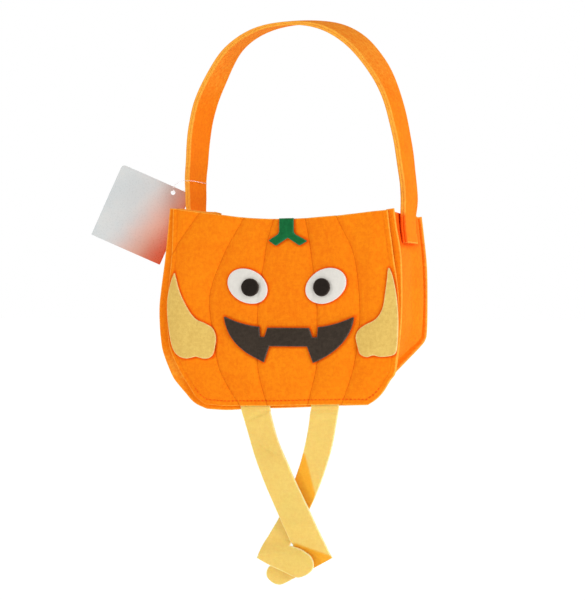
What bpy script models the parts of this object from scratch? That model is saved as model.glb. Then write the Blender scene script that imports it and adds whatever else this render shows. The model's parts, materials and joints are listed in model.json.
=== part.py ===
# Felt trick-or-treat basket: a pumpkin-shaped bag with a face, a strap handle, two long legs and a paper tag.
# All lengths are metres. X runs to the viewer's right, Y to the back and Z up.
# The bag is modelled with its front panel's face on Y = 0 and its bottom edge on Z = 0.
# One parent empty then moves everything so that the underside of the handle's crown, where it is held,
# is the origin.

import bpy
import bmesh
from math import cos, pi, radians, sin, sqrt, tan
from mathutils import Matrix, Vector

# Felt thicknesses, and the gap left between pieces that touch
FELT = 0.0018
APPLIQUE = 0.0015
GAP = 0.0003

# Bag
DEPTH = 0.075
RIM_HALF_WIDTH = 0.0777
RIM_HEIGHT = 0.133
RIM_DIP = 0.007
BELLY_HALF_WIDTH = 0.0827
BELLY_HEIGHT = 0.062
SHOULDER_HALF_WIDTH = 0.0812
FRONT_SHOULDER_HEIGHT = 0.028
FRONT_TOE_HALF_WIDTH = 0.060
FRONT_CORNER_CUT = 0.010
BACK_SHOULDER_HEIGHT = 0.043
BACK_TOE_HALF_WIDTH = 0.037
BACK_CORNER_CUT = 0.008

# Seams: the gusset stands this far inside the panels' edges, and its own raw edges show past them
SEAM_ALLOWANCE = 0.0042
FLANGE_SHOWS_AT_LEFT = 0.0040
FLANGE_SHOWS_AT_RIGHT = 0.0006
FLANGE_SHOWS_BELOW = 0.0010

# Handle: a strap of two felt layers that stands on two sewn tails
STRAP_WIDTH = 0.027
STRAP_CENTRE_Y = 0.042
FOLDED_STRAP_CLEARANCE = 0.001
TAIL_END_HEIGHT = 0.110
ARCH_START_HEIGHT = 0.150
CROWN_HEIGHT = 0.2625
ARCH_FULLNESS = 2.25
HANDLE_LEAN_DEG = 5.0
CROWN_ROLL_DEG = 5.0
TWIST_DEG = 6.5
TWIST_LENGTH = 0.070

# Face pieces, which sit a little right of the bag's middle
FACE_X = 0.0061
EYE_SPREAD = 0.0276
EYE_HEIGHT = 0.0813
EYE_HALF_LENGTH = 0.0147
EYE_HALF_HEIGHT = 0.0110
EYE_TILT_DEG = 25.8
PUPIL_SPREAD = 0.0252
PUPIL_HEIGHT = 0.0804
PUPIL_RADIUS = 0.0060

MOUTH_SHIFT = 0.0012
MOUTH_HALF_WIDTH = 0.0457
MOUTH_TIP_HEIGHT = 0.0611
LIP_HEIGHT = 0.0535
LIP_SAG = 0.0012
NOTCH_INNER = 0.0145
NOTCH_OUTER = 0.0207
NOTCH_FLOOR_INNER = 0.0168
NOTCH_FLOOR_OUTER = 0.0202
NOTCH_FLOOR_HEIGHT = 0.0473
CHIN_HEIGHT = 0.0412
CHIN_HALF_WIDTH = 0.0134
JAW_HEIGHT = 0.0305
JAW_HALF_WIDTH = 0.0173
JAW_PULL_X = 0.0431
JAW_PULL_HEIGHT = 0.0406

STEM_HALF_WIDTH = 0.0052
STEM_FLARE_HEIGHT = 0.0162
STEM_PULL_HALF_WIDTH = 0.0062
STEM_PULL_HEIGHT = 0.0124
STEM_FOOT_SPREAD = 0.0130
STEM_FOOT_HEIGHT = 0.0109
STEM_TOE_SPREAD = 0.0079
STEM_TOE_HEIGHT = 0.0083
STEM_CROTCH_HEIGHT = 0.0131
STEM_BASE_HEIGHT = 0.100

# Hands: widths and places differ between the two sides, as they do on the sewn basket
LEFT_HAND_FROM_EDGE = 0.0018
LEFT_HAND_WIDTH = 0.0362
LEFT_HAND_BOTTOM = 0.0323
RIGHT_HAND_FROM_EDGE = 0.0008
RIGHT_HAND_WIDTH = 0.0287
RIGHT_HAND_BOTTOM = 0.0346
HAND_HEIGHT = 0.0587
HAND_WIDEST_SHARE = 0.58

# Legs: hung from the front bottom seam, and crossing.
# Each curves sideways from its start bend to its end bend.
LEG_LENGTH = 0.110
LEG_END_BEND_DEG = 27.2
LEFT_LEG_X = -0.0168
LEFT_LEG_WIDTH = 0.0208
LEFT_LEG_START_BEND_DEG = 11.0
LEFT_LEG_BEND_LENGTH = 0.054
LEFT_FOOT_LENGTH = 0.0474
LEFT_FOOT_LIFT_DEG = 0.0
RIGHT_LEG_X = 0.0316
RIGHT_LEG_WIDTH = 0.0182
RIGHT_LEG_START_BEND_DEG = 8.0
RIGHT_LEG_BEND_LENGTH = 0.105
RIGHT_FOOT_LENGTH = 0.0398
RIGHT_FOOT_LIFT_DEG = 10.0
ANKLE_HEIGHT = 0.0160
TOE_HEIGHT = 0.0135
SOLE_BULGE = 0.0015
SOLE_BULGE_SHARE = 0.45
LEG_TOP_HALF_THICKNESS = FELT / 4
LEG_PASS = (FELT + GAP) / 2
LEGS_MEET_BELOW = 0.040
LEGS_SWAP_BELOW = 0.0903
LEGS_SWAP_LENGTH = 0.0040

# The toe's outline: how far back from its end and how far above the sole, as shares of its height
TOE_SHAPE = ((0.40, 0.93), (0.0, 0.50), (0.10, 0.16))
TOE_SOLE_SHARE = 0.42

# Swing tag on a plastic loop round the left side of the strap
TAG_SIZE = 0.053
TAG_THICKNESS = 0.0008
TAG_HOLE_RADIUS = 0.00165
TAG_HOLE_FROM_LEFT = 0.0409
TAG_HOLE_FROM_TOP = 0.0042
TAG_TILT_DEG = 23.9
TAG_YAW_DEG = 20.0
TAG_PIN_FROM_STRAP = 0.0157
TAG_PIN_BACK = 0.001
TAG_PIN_HEIGHT = 0.1495
LOOP_RADIUS = 0.00055
LOOP_RISE = 0.006
LOOP_CLEARANCE = 0.0007
LOOP_EYE_HALF_LENGTH = 0.005
LOOP_FLARE_SHARE = 0.6

# Resolution of the curves
SIDE_STEPS = 7
CORNER_STEPS = 5
BASE_STEPS = 4
RIM_STEPS = 12
ARCH_STEPS = 15
ROUND_STEPS = 32
SPLINE_STEPS = 3
STEM_STEPS = 4
HOLE_STEPS = 16
LOOP_STEPS = 5
LEG_STEPS = 14
LEG_BEND_STEPS = 24
LEG_MEET_STEPS = 5
LEG_SWAP_STEPS = 6
STRAP_END_STEPS = 6
STRAP_END_FIRST_DEG = 84.0
SMOOTH_BELOW_DEG = 30.0


def new_material(name, colour, roughness):
    material = bpy.data.materials.new(name)
    material.use_nodes = True
    shader = material.node_tree.nodes["Principled BSDF"]
    shader.inputs["Base Color"].default_value = (*colour, 1.0)
    shader.inputs["Roughness"].default_value = roughness
    shader.inputs["Metallic"].default_value = 0.0
    return material


def new_empty(name, location, rotation, parent):
    empty = bpy.data.objects.new(name, None)
    empty.location = location
    empty.rotation_euler = rotation
    empty.parent = parent
    bpy.context.scene.collection.objects.link(empty)
    return empty


def new_object(name, mesh, material, parent):
    mesh.materials.append(material)
    obj = bpy.data.objects.new(name, mesh)
    obj.parent = parent
    bpy.context.scene.collection.objects.link(obj)
    return obj


def lerp(a, b, t):
    return a + (b - a) * t


def bend_through(start, pull, end, steps):
    """Points of a curve from start to end, drawn towards pull, without the start point."""
    points = []
    for i in range(1, steps + 1):
        t = i / steps
        x = (1 - t) ** 2 * start[0] + 2 * t * (1 - t) * pull[0] + t ** 2 * end[0]
        z = (1 - t) ** 2 * start[1] + 2 * t * (1 - t) * pull[1] + t ** 2 * end[1]
        points.append((x, z))
    return points


def spline_point(corners, t):
    """A point between the second and third of four corners, on a smooth curve through all of them."""
    p0, p1, p2, p3 = (Vector(corner) for corner in corners)
    return 0.5 * (2 * p1 + (p2 - p0) * t + (2 * p0 - 5 * p1 + 4 * p2 - p3) * t ** 2
                  + (3 * p1 - p0 - 3 * p2 + p3) * t ** 3)


def smooth_run(points, steps):
    """A smooth open curve through the given points, without the first of them."""
    padded = [points[0]] + list(points) + [points[-1]]
    result = []
    for k in range(1, len(padded) - 2):
        for i in range(1, steps + 1):
            result.append(tuple(spline_point(padded[k - 1:k + 3], i / steps)))
    return result


def round_off(before, corner, after, cut):
    """A corner cut back by the same length on both sides and rounded."""
    start = Vector(corner) + (Vector(before) - Vector(corner)).normalized() * cut
    end = Vector(corner) + (Vector(after) - Vector(corner)).normalized() * cut
    return [tuple(start)] + bend_through(start, corner, end, CORNER_STEPS)


def fill_outline(loops):
    """A flat mesh in the XZ plane, bounded by one outer loop and any holes."""
    flat = bmesh.new()
    edges = []
    for loop in loops:
        verts = [flat.verts.new((x, 0.0, z)) for x, z in loop]
        for i, vert in enumerate(verts):
            edges.append(flat.edges.new((vert, verts[(i + 1) % len(verts)])))
    bmesh.ops.triangle_fill(flat, use_beauty=True, use_dissolve=False, edges=edges, normal=(0, -1, 0))
    return flat


def thicken(flat, front_y, back_y):
    """A closed solid between two copies of a flat mesh, whose depths are functions of X and Z."""
    mesh_data = bmesh.new()
    front = {}
    back = {}
    for vert in flat.verts:
        x, z = vert.co.x, vert.co.z
        front[vert] = mesh_data.verts.new((x, front_y(x, z), z))
        back[vert] = mesh_data.verts.new((x, back_y(x, z), z))
    for face in flat.faces:
        corners = list(face.verts)
        if face.normal.y > 0:
            corners.reverse()
        mesh_data.faces.new([front[v] for v in corners])
        mesh_data.faces.new([back[v] for v in reversed(corners)])
    for edge in flat.edges:
        if len(edge.link_faces) == 1:
            a, b = edge.verts
            mesh_data.faces.new((front[a], front[b], back[b], back[a]))
    bmesh.ops.recalc_face_normals(mesh_data, faces=mesh_data.faces)
    return mesh_data


def finish_mesh(name, mesh_data):
    """The finished mesh, shaded smooth except over its corners."""
    mesh_data.normal_update()
    for face in mesh_data.faces:
        face.smooth = True
    for edge in mesh_data.edges:
        edge.smooth = edge.calc_face_angle() < radians(SMOOTH_BELOW_DEG)
    mesh = bpy.data.meshes.new(name)
    mesh_data.to_mesh(mesh)
    mesh_data.free()
    mesh.update()
    return mesh


def felt_piece(name, loops, front_y, thickness, material, parent):
    """A flat piece cut from sheet, standing in the XZ plane."""
    flat = fill_outline(loops)
    flat.normal_update()
    solid = thicken(flat, lambda x, z: front_y, lambda x, z: front_y + thickness)
    flat.free()
    return new_object(name, finish_mesh(name, solid), material, parent)


def side_half_width(z, shoulder_height):
    """Half the bag's width at height z, between the rim and the shoulder of a bottom corner."""
    if z >= BELLY_HEIGHT:
        share = (z - BELLY_HEIGHT) / (RIM_HEIGHT - BELLY_HEIGHT)
        return lerp(BELLY_HALF_WIDTH, RIM_HALF_WIDTH, share ** 2)
    share = (BELLY_HEIGHT - z) / (BELLY_HEIGHT - shoulder_height)
    return lerp(BELLY_HALF_WIDTH, SHOULDER_HALF_WIDTH, share ** 2)


def half_outline(shoulder_height, toe_half_width, corner_cut):
    """The panel's edge from the right rim corner, down the side and along the base to the middle."""
    shoulder = (SHOULDER_HALF_WIDTH, shoulder_height)
    toe = (toe_half_width, 0.0)
    side_end = shoulder_height + corner_cut
    points = []
    for i in range(SIDE_STEPS + 1):
        z = lerp(RIM_HEIGHT, side_end, i / SIDE_STEPS)
        points.append((side_half_width(z, shoulder_height), z))
    points += round_off(points[-1], shoulder, toe, corner_cut)[1:]
    points += round_off(shoulder, toe, (0.0, 0.0), corner_cut)
    base_start = points[-1][0]
    for i in range(1, BASE_STEPS + 1):
        points.append((lerp(base_start, 0.0, i / BASE_STEPS), 0.0))
    return points


def sewn_edge(shoulder_height, toe_half_width, corner_cut):
    """The whole sewn edge, from the right rim corner round the base to the left rim corner."""
    half = half_outline(shoulder_height, toe_half_width, corner_cut)
    return half + [(-x, z) for x, z in reversed(half[:-1])]


def rim_curve():
    """The rim from the left corner to the right one, without the corners."""
    points = []
    for i in range(1, RIM_STEPS):
        x = lerp(-RIM_HALF_WIDTH, RIM_HALF_WIDTH, i / RIM_STEPS)
        points.append((x, RIM_HEIGHT - RIM_DIP * (1 - (x / RIM_HALF_WIDTH) ** 2)))
    return points


def outward(path, i):
    """The unit normal, pointing out of the bag, at point i of a sewn edge."""
    ahead = Vector(path[min(i + 1, len(path) - 1)])
    behind = Vector(path[max(i - 1, 0)])
    along = (ahead - behind).normalized()
    return Vector((-along.y, along.x))


def make_bag(orange, parent):
    front_edge = sewn_edge(FRONT_SHOULDER_HEIGHT, FRONT_TOE_HALF_WIDTH, FRONT_CORNER_CUT)
    back_edge = sewn_edge(BACK_SHOULDER_HEIGHT, BACK_TOE_HALF_WIDTH, BACK_CORNER_CUT)
    felt_piece("front_panel", [front_edge + rim_curve()], 0.0, FELT, orange, parent)
    felt_piece("back_panel", [back_edge + rim_curve()], DEPTH - FELT, FELT, orange, parent)
    make_gusset(front_edge, back_edge, orange, parent)


def make_gusset(front_edge, back_edge, orange, parent):
    """The strip round the sides and base, with a raw seam edge turned out along both panels."""
    front_face = FELT + GAP
    back_face = DEPTH - FELT - GAP
    mesh_data = bmesh.new()
    sections = []
    for i in range(len(front_edge)):
        front_normal = outward(front_edge, i)
        back_normal = outward(back_edge, i)
        section = []
        for depth, side in ((front_face, "inner"), (front_face, "tip"), (front_face + FELT, "tip"),
                            (front_face + FELT, "web"), (back_face - FELT, "web"), (back_face - FELT, "tip"),
                            (back_face, "tip"), (back_face, "inner")):
            share = depth / DEPTH
            edge = Vector(front_edge[i]).lerp(Vector(back_edge[i]), share)
            normal = front_normal.lerp(back_normal, share).normalized()
            shows_at_side = FLANGE_SHOWS_AT_RIGHT if normal.x > 0 else FLANGE_SHOWS_AT_LEFT
            shows = shows_at_side * abs(normal.x) + FLANGE_SHOWS_BELOW * abs(normal.y)
            offset = {"inner": -SEAM_ALLOWANCE - FELT, "web": -SEAM_ALLOWANCE, "tip": shows}[side]
            point = edge + normal * offset
            section.append(mesh_data.verts.new((point.x, depth, point.y)))
        if i in (0, len(front_edge) - 1):
            for vert in section:
                vert.co.z = RIM_HEIGHT
        sections.append(section)
    count = len(sections[0])
    for a, b in zip(sections, sections[1:]):
        for k in range(count):
            j = (k + 1) % count
            mesh_data.faces.new((a[k], a[j], b[j], b[k]))
    mesh_data.faces.new(sections[0])
    mesh_data.faces.new(list(reversed(sections[-1])))
    bmesh.ops.recalc_face_normals(mesh_data, faces=mesh_data.faces)
    new_object("gusset", finish_mesh("gusset", mesh_data), orange, parent)


def ellipse(centre, half_length, half_height, tilt):
    points = []
    for i in range(ROUND_STEPS):
        angle = 2 * pi * i / ROUND_STEPS
        u = half_length * cos(angle)
        v = half_height * sin(angle)
        points.append((centre[0] + u * cos(tilt) - v * sin(tilt), centre[1] + u * sin(tilt) + v * cos(tilt)))
    return points


def mirror_half(half, centre_x):
    """A closed outline from its right half, listed top to bottom and measured from the middle."""
    right = [(centre_x + x, z) for x, z in half]
    left = [(centre_x - x, z) for x, z in reversed(half)]
    return right + left


def mouth_outline():
    tip = (MOUTH_HALF_WIDTH, MOUTH_TIP_HEIGHT)
    notch_top = (NOTCH_OUTER, LIP_HEIGHT + LIP_SAG / 2)
    lip_middle = ((NOTCH_OUTER + MOUTH_HALF_WIDTH) / 2, (notch_top[1] + MOUTH_TIP_HEIGHT) / 2 - 2 * LIP_SAG)
    jaw = (JAW_HALF_WIDTH, JAW_HEIGHT)
    half = [(NOTCH_INNER, LIP_HEIGHT), (NOTCH_FLOOR_INNER, NOTCH_FLOOR_HEIGHT)]
    half += [(NOTCH_FLOOR_OUTER, NOTCH_FLOOR_HEIGHT), notch_top]
    half += bend_through(notch_top, lip_middle, tip, CORNER_STEPS)
    half += bend_through(tip, (JAW_PULL_X, JAW_PULL_HEIGHT), jaw, 2 * CORNER_STEPS)
    half += [(CHIN_HALF_WIDTH, CHIN_HEIGHT)]
    return mirror_half(half, FACE_X + MOUTH_SHIFT)


def stem_outline():
    rim_middle = RIM_HEIGHT - RIM_DIP
    flare = (STEM_HALF_WIDTH, STEM_BASE_HEIGHT + STEM_FLARE_HEIGHT)
    foot = (STEM_FOOT_SPREAD, STEM_BASE_HEIGHT + STEM_FOOT_HEIGHT)
    half = [(STEM_HALF_WIDTH, rim_middle), flare]
    half += bend_through(flare, (STEM_PULL_HALF_WIDTH, STEM_BASE_HEIGHT + STEM_PULL_HEIGHT), foot, STEM_STEPS)
    half += [(STEM_TOE_SPREAD, STEM_BASE_HEIGHT + STEM_TOE_HEIGHT)]
    right = [(FACE_X + x, z) for x, z in half]
    left = [(FACE_X - x, z) for x, z in reversed(half)]
    return right + [(FACE_X, STEM_BASE_HEIGHT + STEM_CROTCH_HEIGHT)] + left


def hand_outline(from_edge, width, bottom, side):
    """A mitten with a long thin wrist, from its shares of the width (inwards) and of the height (up)."""
    widest_height = bottom + HAND_WIDEST_SHARE * HAND_HEIGHT
    outer_x = side * (side_half_width(widest_height, FRONT_SHOULDER_HEIGHT) - from_edge)
    wrist = (0.152, 1.0)
    cleft = (0.605, 0.024)
    outer_run = [wrist, (0.085, 0.90), (0.020, 0.74), (0.0, HAND_WIDEST_SHARE), (0.028, 0.36), (0.10, 0.14),
                 (0.215, 0.037), (0.40, 0.0), cleft]
    inner_run = [cleft, (0.79, 0.0), (0.925, 0.037), (0.985, 0.16), (1.0, 0.25), (0.93, 0.35),
                 (0.765, 0.412), (0.605, 0.455), (0.455, 0.56), (0.285, 0.75), (0.19, 0.92), wrist]
    shares = smooth_run(outer_run, SPLINE_STEPS) + smooth_run(inner_run, SPLINE_STEPS)
    return [(outer_x - side * inward * width, bottom + up * HAND_HEIGHT) for inward, up in shares]


def make_face(green, white, black, beige, parent):
    on_panel = -GAP - APPLIQUE
    on_eye = on_panel - GAP - APPLIQUE
    felt_piece("stem", [stem_outline()], on_panel, APPLIQUE, green, parent)
    felt_piece("mouth", [mouth_outline()], on_panel, APPLIQUE, black, parent)
    for name, side in (("left", -1), ("right", 1)):
        eye_centre = (FACE_X + side * EYE_SPREAD, EYE_HEIGHT)
        pupil_centre = (FACE_X + side * PUPIL_SPREAD, PUPIL_HEIGHT)
        eye = ellipse(eye_centre, EYE_HALF_LENGTH, EYE_HALF_HEIGHT, side * radians(EYE_TILT_DEG))
        pupil = ellipse(pupil_centre, PUPIL_RADIUS, PUPIL_RADIUS, 0.0)
        felt_piece(name + "_eye_white", [eye], on_panel, APPLIQUE, white, parent)
        felt_piece(name + "_pupil", [pupil], on_eye, APPLIQUE, black, parent)
    left_hand = hand_outline(LEFT_HAND_FROM_EDGE, LEFT_HAND_WIDTH, LEFT_HAND_BOTTOM, -1)
    right_hand = hand_outline(RIGHT_HAND_FROM_EDGE, RIGHT_HAND_WIDTH, RIGHT_HAND_BOTTOM, 1)
    felt_piece("left_hand", [left_hand], on_panel, APPLIQUE, beige, parent)
    felt_piece("right_hand", [right_hand], on_panel, APPLIQUE, beige, parent)


def strap_inner_x():
    """Where the strap's inner face stands: against the gusset where it is widest behind the tails."""
    widest = max(side_half_width(TAIL_END_HEIGHT, FRONT_SHOULDER_HEIGHT), RIM_HALF_WIDTH)
    return widest - SEAM_ALLOWANCE + GAP


def strap_middle_x():
    return strap_inner_x() + FELT + GAP / 2


def hinge_height():
    """High enough for the strap, laid flat to the front or back, to clear the rim."""
    return RIM_HEIGHT + FOLDED_STRAP_CLEARANCE + STRAP_WIDTH / 2


def strap_stations():
    """Along the handle from its left end to its right: place, outward normal, half width and roll."""
    radius = STRAP_WIDTH / 2
    middle_x = strap_middle_x()
    hinge = hinge_height()
    rise = CROWN_HEIGHT - ARCH_START_HEIGHT
    half = []
    for i in range(STRAP_END_STEPS):
        angle = radians(STRAP_END_FIRST_DEG) * (1 - i / (STRAP_END_STEPS - 1))
        half.append((middle_x, -radius * sin(angle), (1.0, 0.0), radius * cos(angle), 0.0))
    power = 2 / ARCH_FULLNESS
    for i in range(ARCH_STEPS):
        angle = pi / 2 * i / ARCH_STEPS
        x = middle_x * cos(angle) ** power
        z = ARCH_START_HEIGHT - hinge + rise * sin(angle) ** power
        normal = Vector((cos(angle) ** (2 - power) / middle_x, sin(angle) ** (2 - power) / rise)).normalized()
        half.append((x, z, tuple(normal), radius, radians(CROWN_ROLL_DEG) * sin(angle) ** 2))
    crown = (0.0, CROWN_HEIGHT - hinge, (0.0, 1.0), radius, radians(CROWN_ROLL_DEG))
    left = [(-x, z, (-normal[0], normal[1]), width, roll) for x, z, normal, width, roll in half]
    return left + [crown] + list(reversed(half))


def make_strap_layer(name, inner_offset, orange, parent):
    """One felt layer of the handle, with half-round ends, about the hinge line as its origin."""
    mesh_data = bmesh.new()
    sections = []
    for x, z, normal, half_width, roll in strap_stations():
        out = Vector((normal[0], 0.0, normal[1]))
        back = Vector((0.0, 1.0, 0.0))
        across = back * cos(roll) + out * sin(roll)
        through = out * cos(roll) - back * sin(roll)
        place = Vector((x, 0.0, z))
        twist = Matrix.Rotation(-radians(TWIST_DEG) * smooth_step(z / TWIST_LENGTH), 3, "Z")
        section = []
        for side, depth in ((-1, 0.0), (1, 0.0), (1, FELT), (-1, FELT)):
            corner = place + across * side * half_width + through * (inner_offset + depth)
            section.append(mesh_data.verts.new(twist @ corner))
        sections.append(section)
    for a, b in zip(sections, sections[1:]):
        # Each face is split along the same diagonal, so that the twisted layers lie parallel.
        mesh_data.faces.new((a[0], a[1], b[1]))
        mesh_data.faces.new((a[0], b[1], b[0]))
        mesh_data.faces.new((a[2], a[3], b[2]))
        mesh_data.faces.new((a[3], b[3], b[2]))
        for k, j in ((1, 2), (3, 0)):
            mesh_data.faces.new((a[k], a[j], b[j]))
            mesh_data.faces.new((a[k], b[j], b[k]))
    mesh_data.faces.new(sections[0])
    mesh_data.faces.new(list(reversed(sections[-1])))
    bmesh.ops.recalc_face_normals(mesh_data, faces=mesh_data.faces)
    new_object(name, finish_mesh(name, mesh_data), orange, parent)


def make_tails(orange, parent):
    """The strap's sewn ends on the outside of the gusset, which stop just below the handle's round ends."""
    top = hinge_height() - STRAP_WIDTH / 2 - GAP
    for side_name, side in (("left", -1), ("right", 1)):
        for layer_name, start in (("inner", 0.0), ("outer", FELT + GAP)):
            inner = strap_inner_x() + start
            mesh_data = bmesh.new()
            bmesh.ops.create_cube(mesh_data, size=1.0)
            size = Matrix.Diagonal((FELT, STRAP_WIDTH, top - TAIL_END_HEIGHT, 1.0))
            middle = (side * (inner + FELT / 2), STRAP_CENTRE_Y, (top + TAIL_END_HEIGHT) / 2)
            bmesh.ops.transform(mesh_data, matrix=Matrix.Translation(middle) @ size, verts=mesh_data.verts)
            name = f"{side_name}_tail_{layer_name}"
            new_object(name, finish_mesh(name, mesh_data), orange, parent)


def leg_pattern(width, start_bend_deg, foot_length, foot_lift_deg):
    """The leg as it is cut: across, positive at the heel, and down from the seam."""
    half = width / 2
    slant = half * tan(radians(start_bend_deg))
    lift = radians(foot_lift_deg)

    def on_foot(from_heel, above_sole):
        across = half - from_heel * cos(lift) - above_sole * sin(lift)
        down = LEG_LENGTH - from_heel * sin(lift) - above_sole * cos(lift)
        return (across, down)

    ankle = (-half, LEG_LENGTH - ANKLE_HEIGHT)
    heel = (half, LEG_LENGTH)
    toe = [on_foot(foot_length - back * TOE_HEIGHT, up * TOE_HEIGHT) for back, up in TOE_SHAPE]
    sole = [on_foot(foot_length - TOE_SOLE_SHARE * TOE_HEIGHT, -SOLE_BULGE),
            on_foot(foot_length * SOLE_BULGE_SHARE, -SOLE_BULGE)]
    points = [(-half, lerp(-slant, ankle[1], i / LEG_STEPS)) for i in range(LEG_STEPS + 1)]
    points += smooth_run([ankle, toe[0]], SPLINE_STEPS)
    points += smooth_run(toe + sole + [heel], SPLINE_STEPS)
    points += [(half, lerp(LEG_LENGTH, slant, i / LEG_STEPS)) for i in range(1, LEG_STEPS + 1)]
    return points


def leg_bend(down, start_bend_deg, bend_length):
    """How far the leg has turned sideways at this distance down its middle line."""
    share = sin(pi / 2 * min(1.0, down / bend_length))
    return radians(lerp(start_bend_deg, LEG_END_BEND_DEG, share))


def leg_place(across, down, start_x, start_bend_deg, bend_length, direction):
    """Where a point of the pattern hangs. The leg curves sideways as it goes down."""
    x = start_x
    z = 0.0
    step = down / LEG_BEND_STEPS
    for i in range(LEG_BEND_STEPS):
        bend = leg_bend((i + 0.5) * step, start_bend_deg, bend_length)
        x += direction * sin(bend) * step
        z -= cos(bend) * step
    bend = leg_bend(down, start_bend_deg, bend_length)
    return (x + direction * across * cos(bend), z + across * sin(bend))


def smooth_step(value):
    value = max(0.0, min(1.0, value))
    return value * value * (3 - 2 * value)


def leg_depth(z):
    """How far the left leg stands forward at height z, as a share of what lets the legs pass."""
    meet = smooth_step(-z / LEGS_MEET_BELOW)
    swap = smooth_step((-z - LEGS_SWAP_BELOW) / LEGS_SWAP_LENGTH + 0.5)
    return meet * (1 - 2 * swap)


def make_leg(name, side, start_x, width, start_bend_deg, bend_length, foot, beige, parent):
    """A felt leg about its hinge line. The left one passes in front of the right, and its foot behind."""
    outline = []
    for across, down in leg_pattern(width, start_bend_deg, *foot):
        outline.append(leg_place(across, down, start_x, start_bend_deg, bend_length, -side))
    top = sqrt((FELT / 2) ** 2 - LEG_TOP_HALF_THICKNESS ** 2)
    lead_in = [(outline[-1][0], top), (outline[0][0], top)]
    flat = fill_outline([outline + lead_in])
    levels = [-LEGS_MEET_BELOW * i / LEG_MEET_STEPS for i in range(LEG_MEET_STEPS + 1)]
    for i in range(LEG_SWAP_STEPS + 1):
        levels.append(-LEGS_SWAP_BELOW + LEGS_SWAP_LENGTH * (0.5 - i / LEG_SWAP_STEPS))
    for level in levels:
        geometry = flat.verts[:] + flat.edges[:] + flat.faces[:]
        bmesh.ops.bisect_plane(flat, geom=geometry, plane_co=(0, 0, level), plane_no=(0, 0, 1))
    flat.normal_update()

    def half_thickness(z):
        """Full up to the hinge line. Above it the leg is pressed thin, where the seam takes hold of it."""
        return FELT / 2 if z < top / 2 else LEG_TOP_HALF_THICKNESS

    def middle(z):
        return side * LEG_PASS * leg_depth(z)

    solid = thicken(flat, lambda x, z: middle(z) - half_thickness(z),
                    lambda x, z: middle(z) + half_thickness(z))
    flat.free()
    bmesh.ops.triangulate(solid, faces=solid.faces)
    new_object(name, finish_mesh(name, solid), beige, parent)


def make_tag(paper, parent):
    """A square card about its hole, turned in its own plane as it hangs on the loop."""
    left = -TAG_HOLE_FROM_LEFT
    right = TAG_SIZE - TAG_HOLE_FROM_LEFT
    top = TAG_HOLE_FROM_TOP
    bottom = TAG_HOLE_FROM_TOP - TAG_SIZE
    turn = -radians(TAG_TILT_DEG)
    drop = TAG_HOLE_RADIUS - LOOP_RADIUS - GAP
    corners = [(left, top), (right, top), (right, bottom), (left, bottom)]
    square = [(x * cos(turn) - z * sin(turn), x * sin(turn) + z * cos(turn) - drop) for x, z in corners]
    hole = []
    for i in range(HOLE_STEPS):
        angle = 2 * pi * i / HOLE_STEPS
        hole.append((TAG_HOLE_RADIUS * cos(angle), TAG_HOLE_RADIUS * sin(angle) - drop))
    felt_piece("swing_tag", [square, hole], -TAG_THICKNESS / 2, TAG_THICKNESS, paper, parent)


def make_tag_loop(clear, parent):
    """A closed plastic loop through the tag's hole and round the leaning strap, about the pin's middle."""
    yaw = radians(TAG_YAW_DEG)
    lean = radians(HANDLE_LEAN_DEG)
    reach = LOOP_RADIUS + LOOP_CLEARANCE
    outer = TAG_PIN_FROM_STRAP
    inner = outer + 2 * FELT + GAP
    leaned_forward = (TAG_PIN_HEIGHT + LOOP_RISE - hinge_height()) * tan(lean)
    strap_middle_y = STRAP_CENTRE_Y - pin_place()[1] - leaned_forward
    front = strap_middle_y - STRAP_WIDTH / 2 / cos(lean)
    back = strap_middle_y + STRAP_WIDTH / 2 / cos(lean)
    eye = (LOOP_EYE_HALF_LENGTH * sin(yaw), -LOOP_EYE_HALF_LENGTH * cos(yaw))
    flare_x = outer * LOOP_FLARE_SHARE
    route = [(0.0, 0.0), eye, (flare_x, front - reach / 2), (outer + FELT, front - reach),
             (inner + reach, front + reach), (inner + reach, back - reach), (outer + FELT, back + reach),
             (flare_x, back + reach / 2), (-eye[0], -eye[1])]
    count = len(route)
    points = []
    for k in range(count):
        corners = [route[(k + shift) % count] for shift in (-1, 0, 1, 2)]
        for i in range(LOOP_STEPS):
            point = spline_point(corners, i / LOOP_STEPS)
            points.append((point.x, point.y, LOOP_RISE * smooth_step(point.x / outer)))
    curve = bpy.data.curves.new("tag_fastener", "CURVE")
    curve.dimensions = "3D"
    curve.bevel_depth = LOOP_RADIUS
    curve.bevel_resolution = 2
    spline = curve.splines.new("POLY")
    spline.use_cyclic_u = True
    spline.points.add(len(points) - 1)
    for target, point in zip(spline.points, points):
        target.co = (*point, 1.0)
    new_object("tag_fastener", curve, clear, parent)


def pin_place():
    """The middle of the stretch of loop that the tag hangs on."""
    strap_outer = strap_inner_x() + 2 * FELT + GAP
    return (-strap_outer - TAG_PIN_FROM_STRAP, STRAP_CENTRE_Y + TAG_PIN_BACK, TAG_PIN_HEIGHT)


def leg_hinge_place():
    """Just below the seam edge at the bottom of the front panel."""
    return (0.0, FELT + GAP / 2, -FLANGE_SHOWS_BELOW - GAP - FELT / 2)


def grip_place():
    """The underside of the handle's crown."""
    lean = Matrix.Rotation(radians(HANDLE_LEAN_DEG), 3, "X")
    twist = Matrix.Rotation(-radians(TWIST_DEG), 3, "Z")
    roll = radians(CROWN_ROLL_DEG)
    down = Vector((0.0, sin(roll), -cos(roll))) * (FELT + GAP / 2)
    crown = Vector((0.0, 0.0, CROWN_HEIGHT - hinge_height())) + twist @ down
    return Vector((0.0, STRAP_CENTRE_Y, hinge_height())) + lean @ crown


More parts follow.
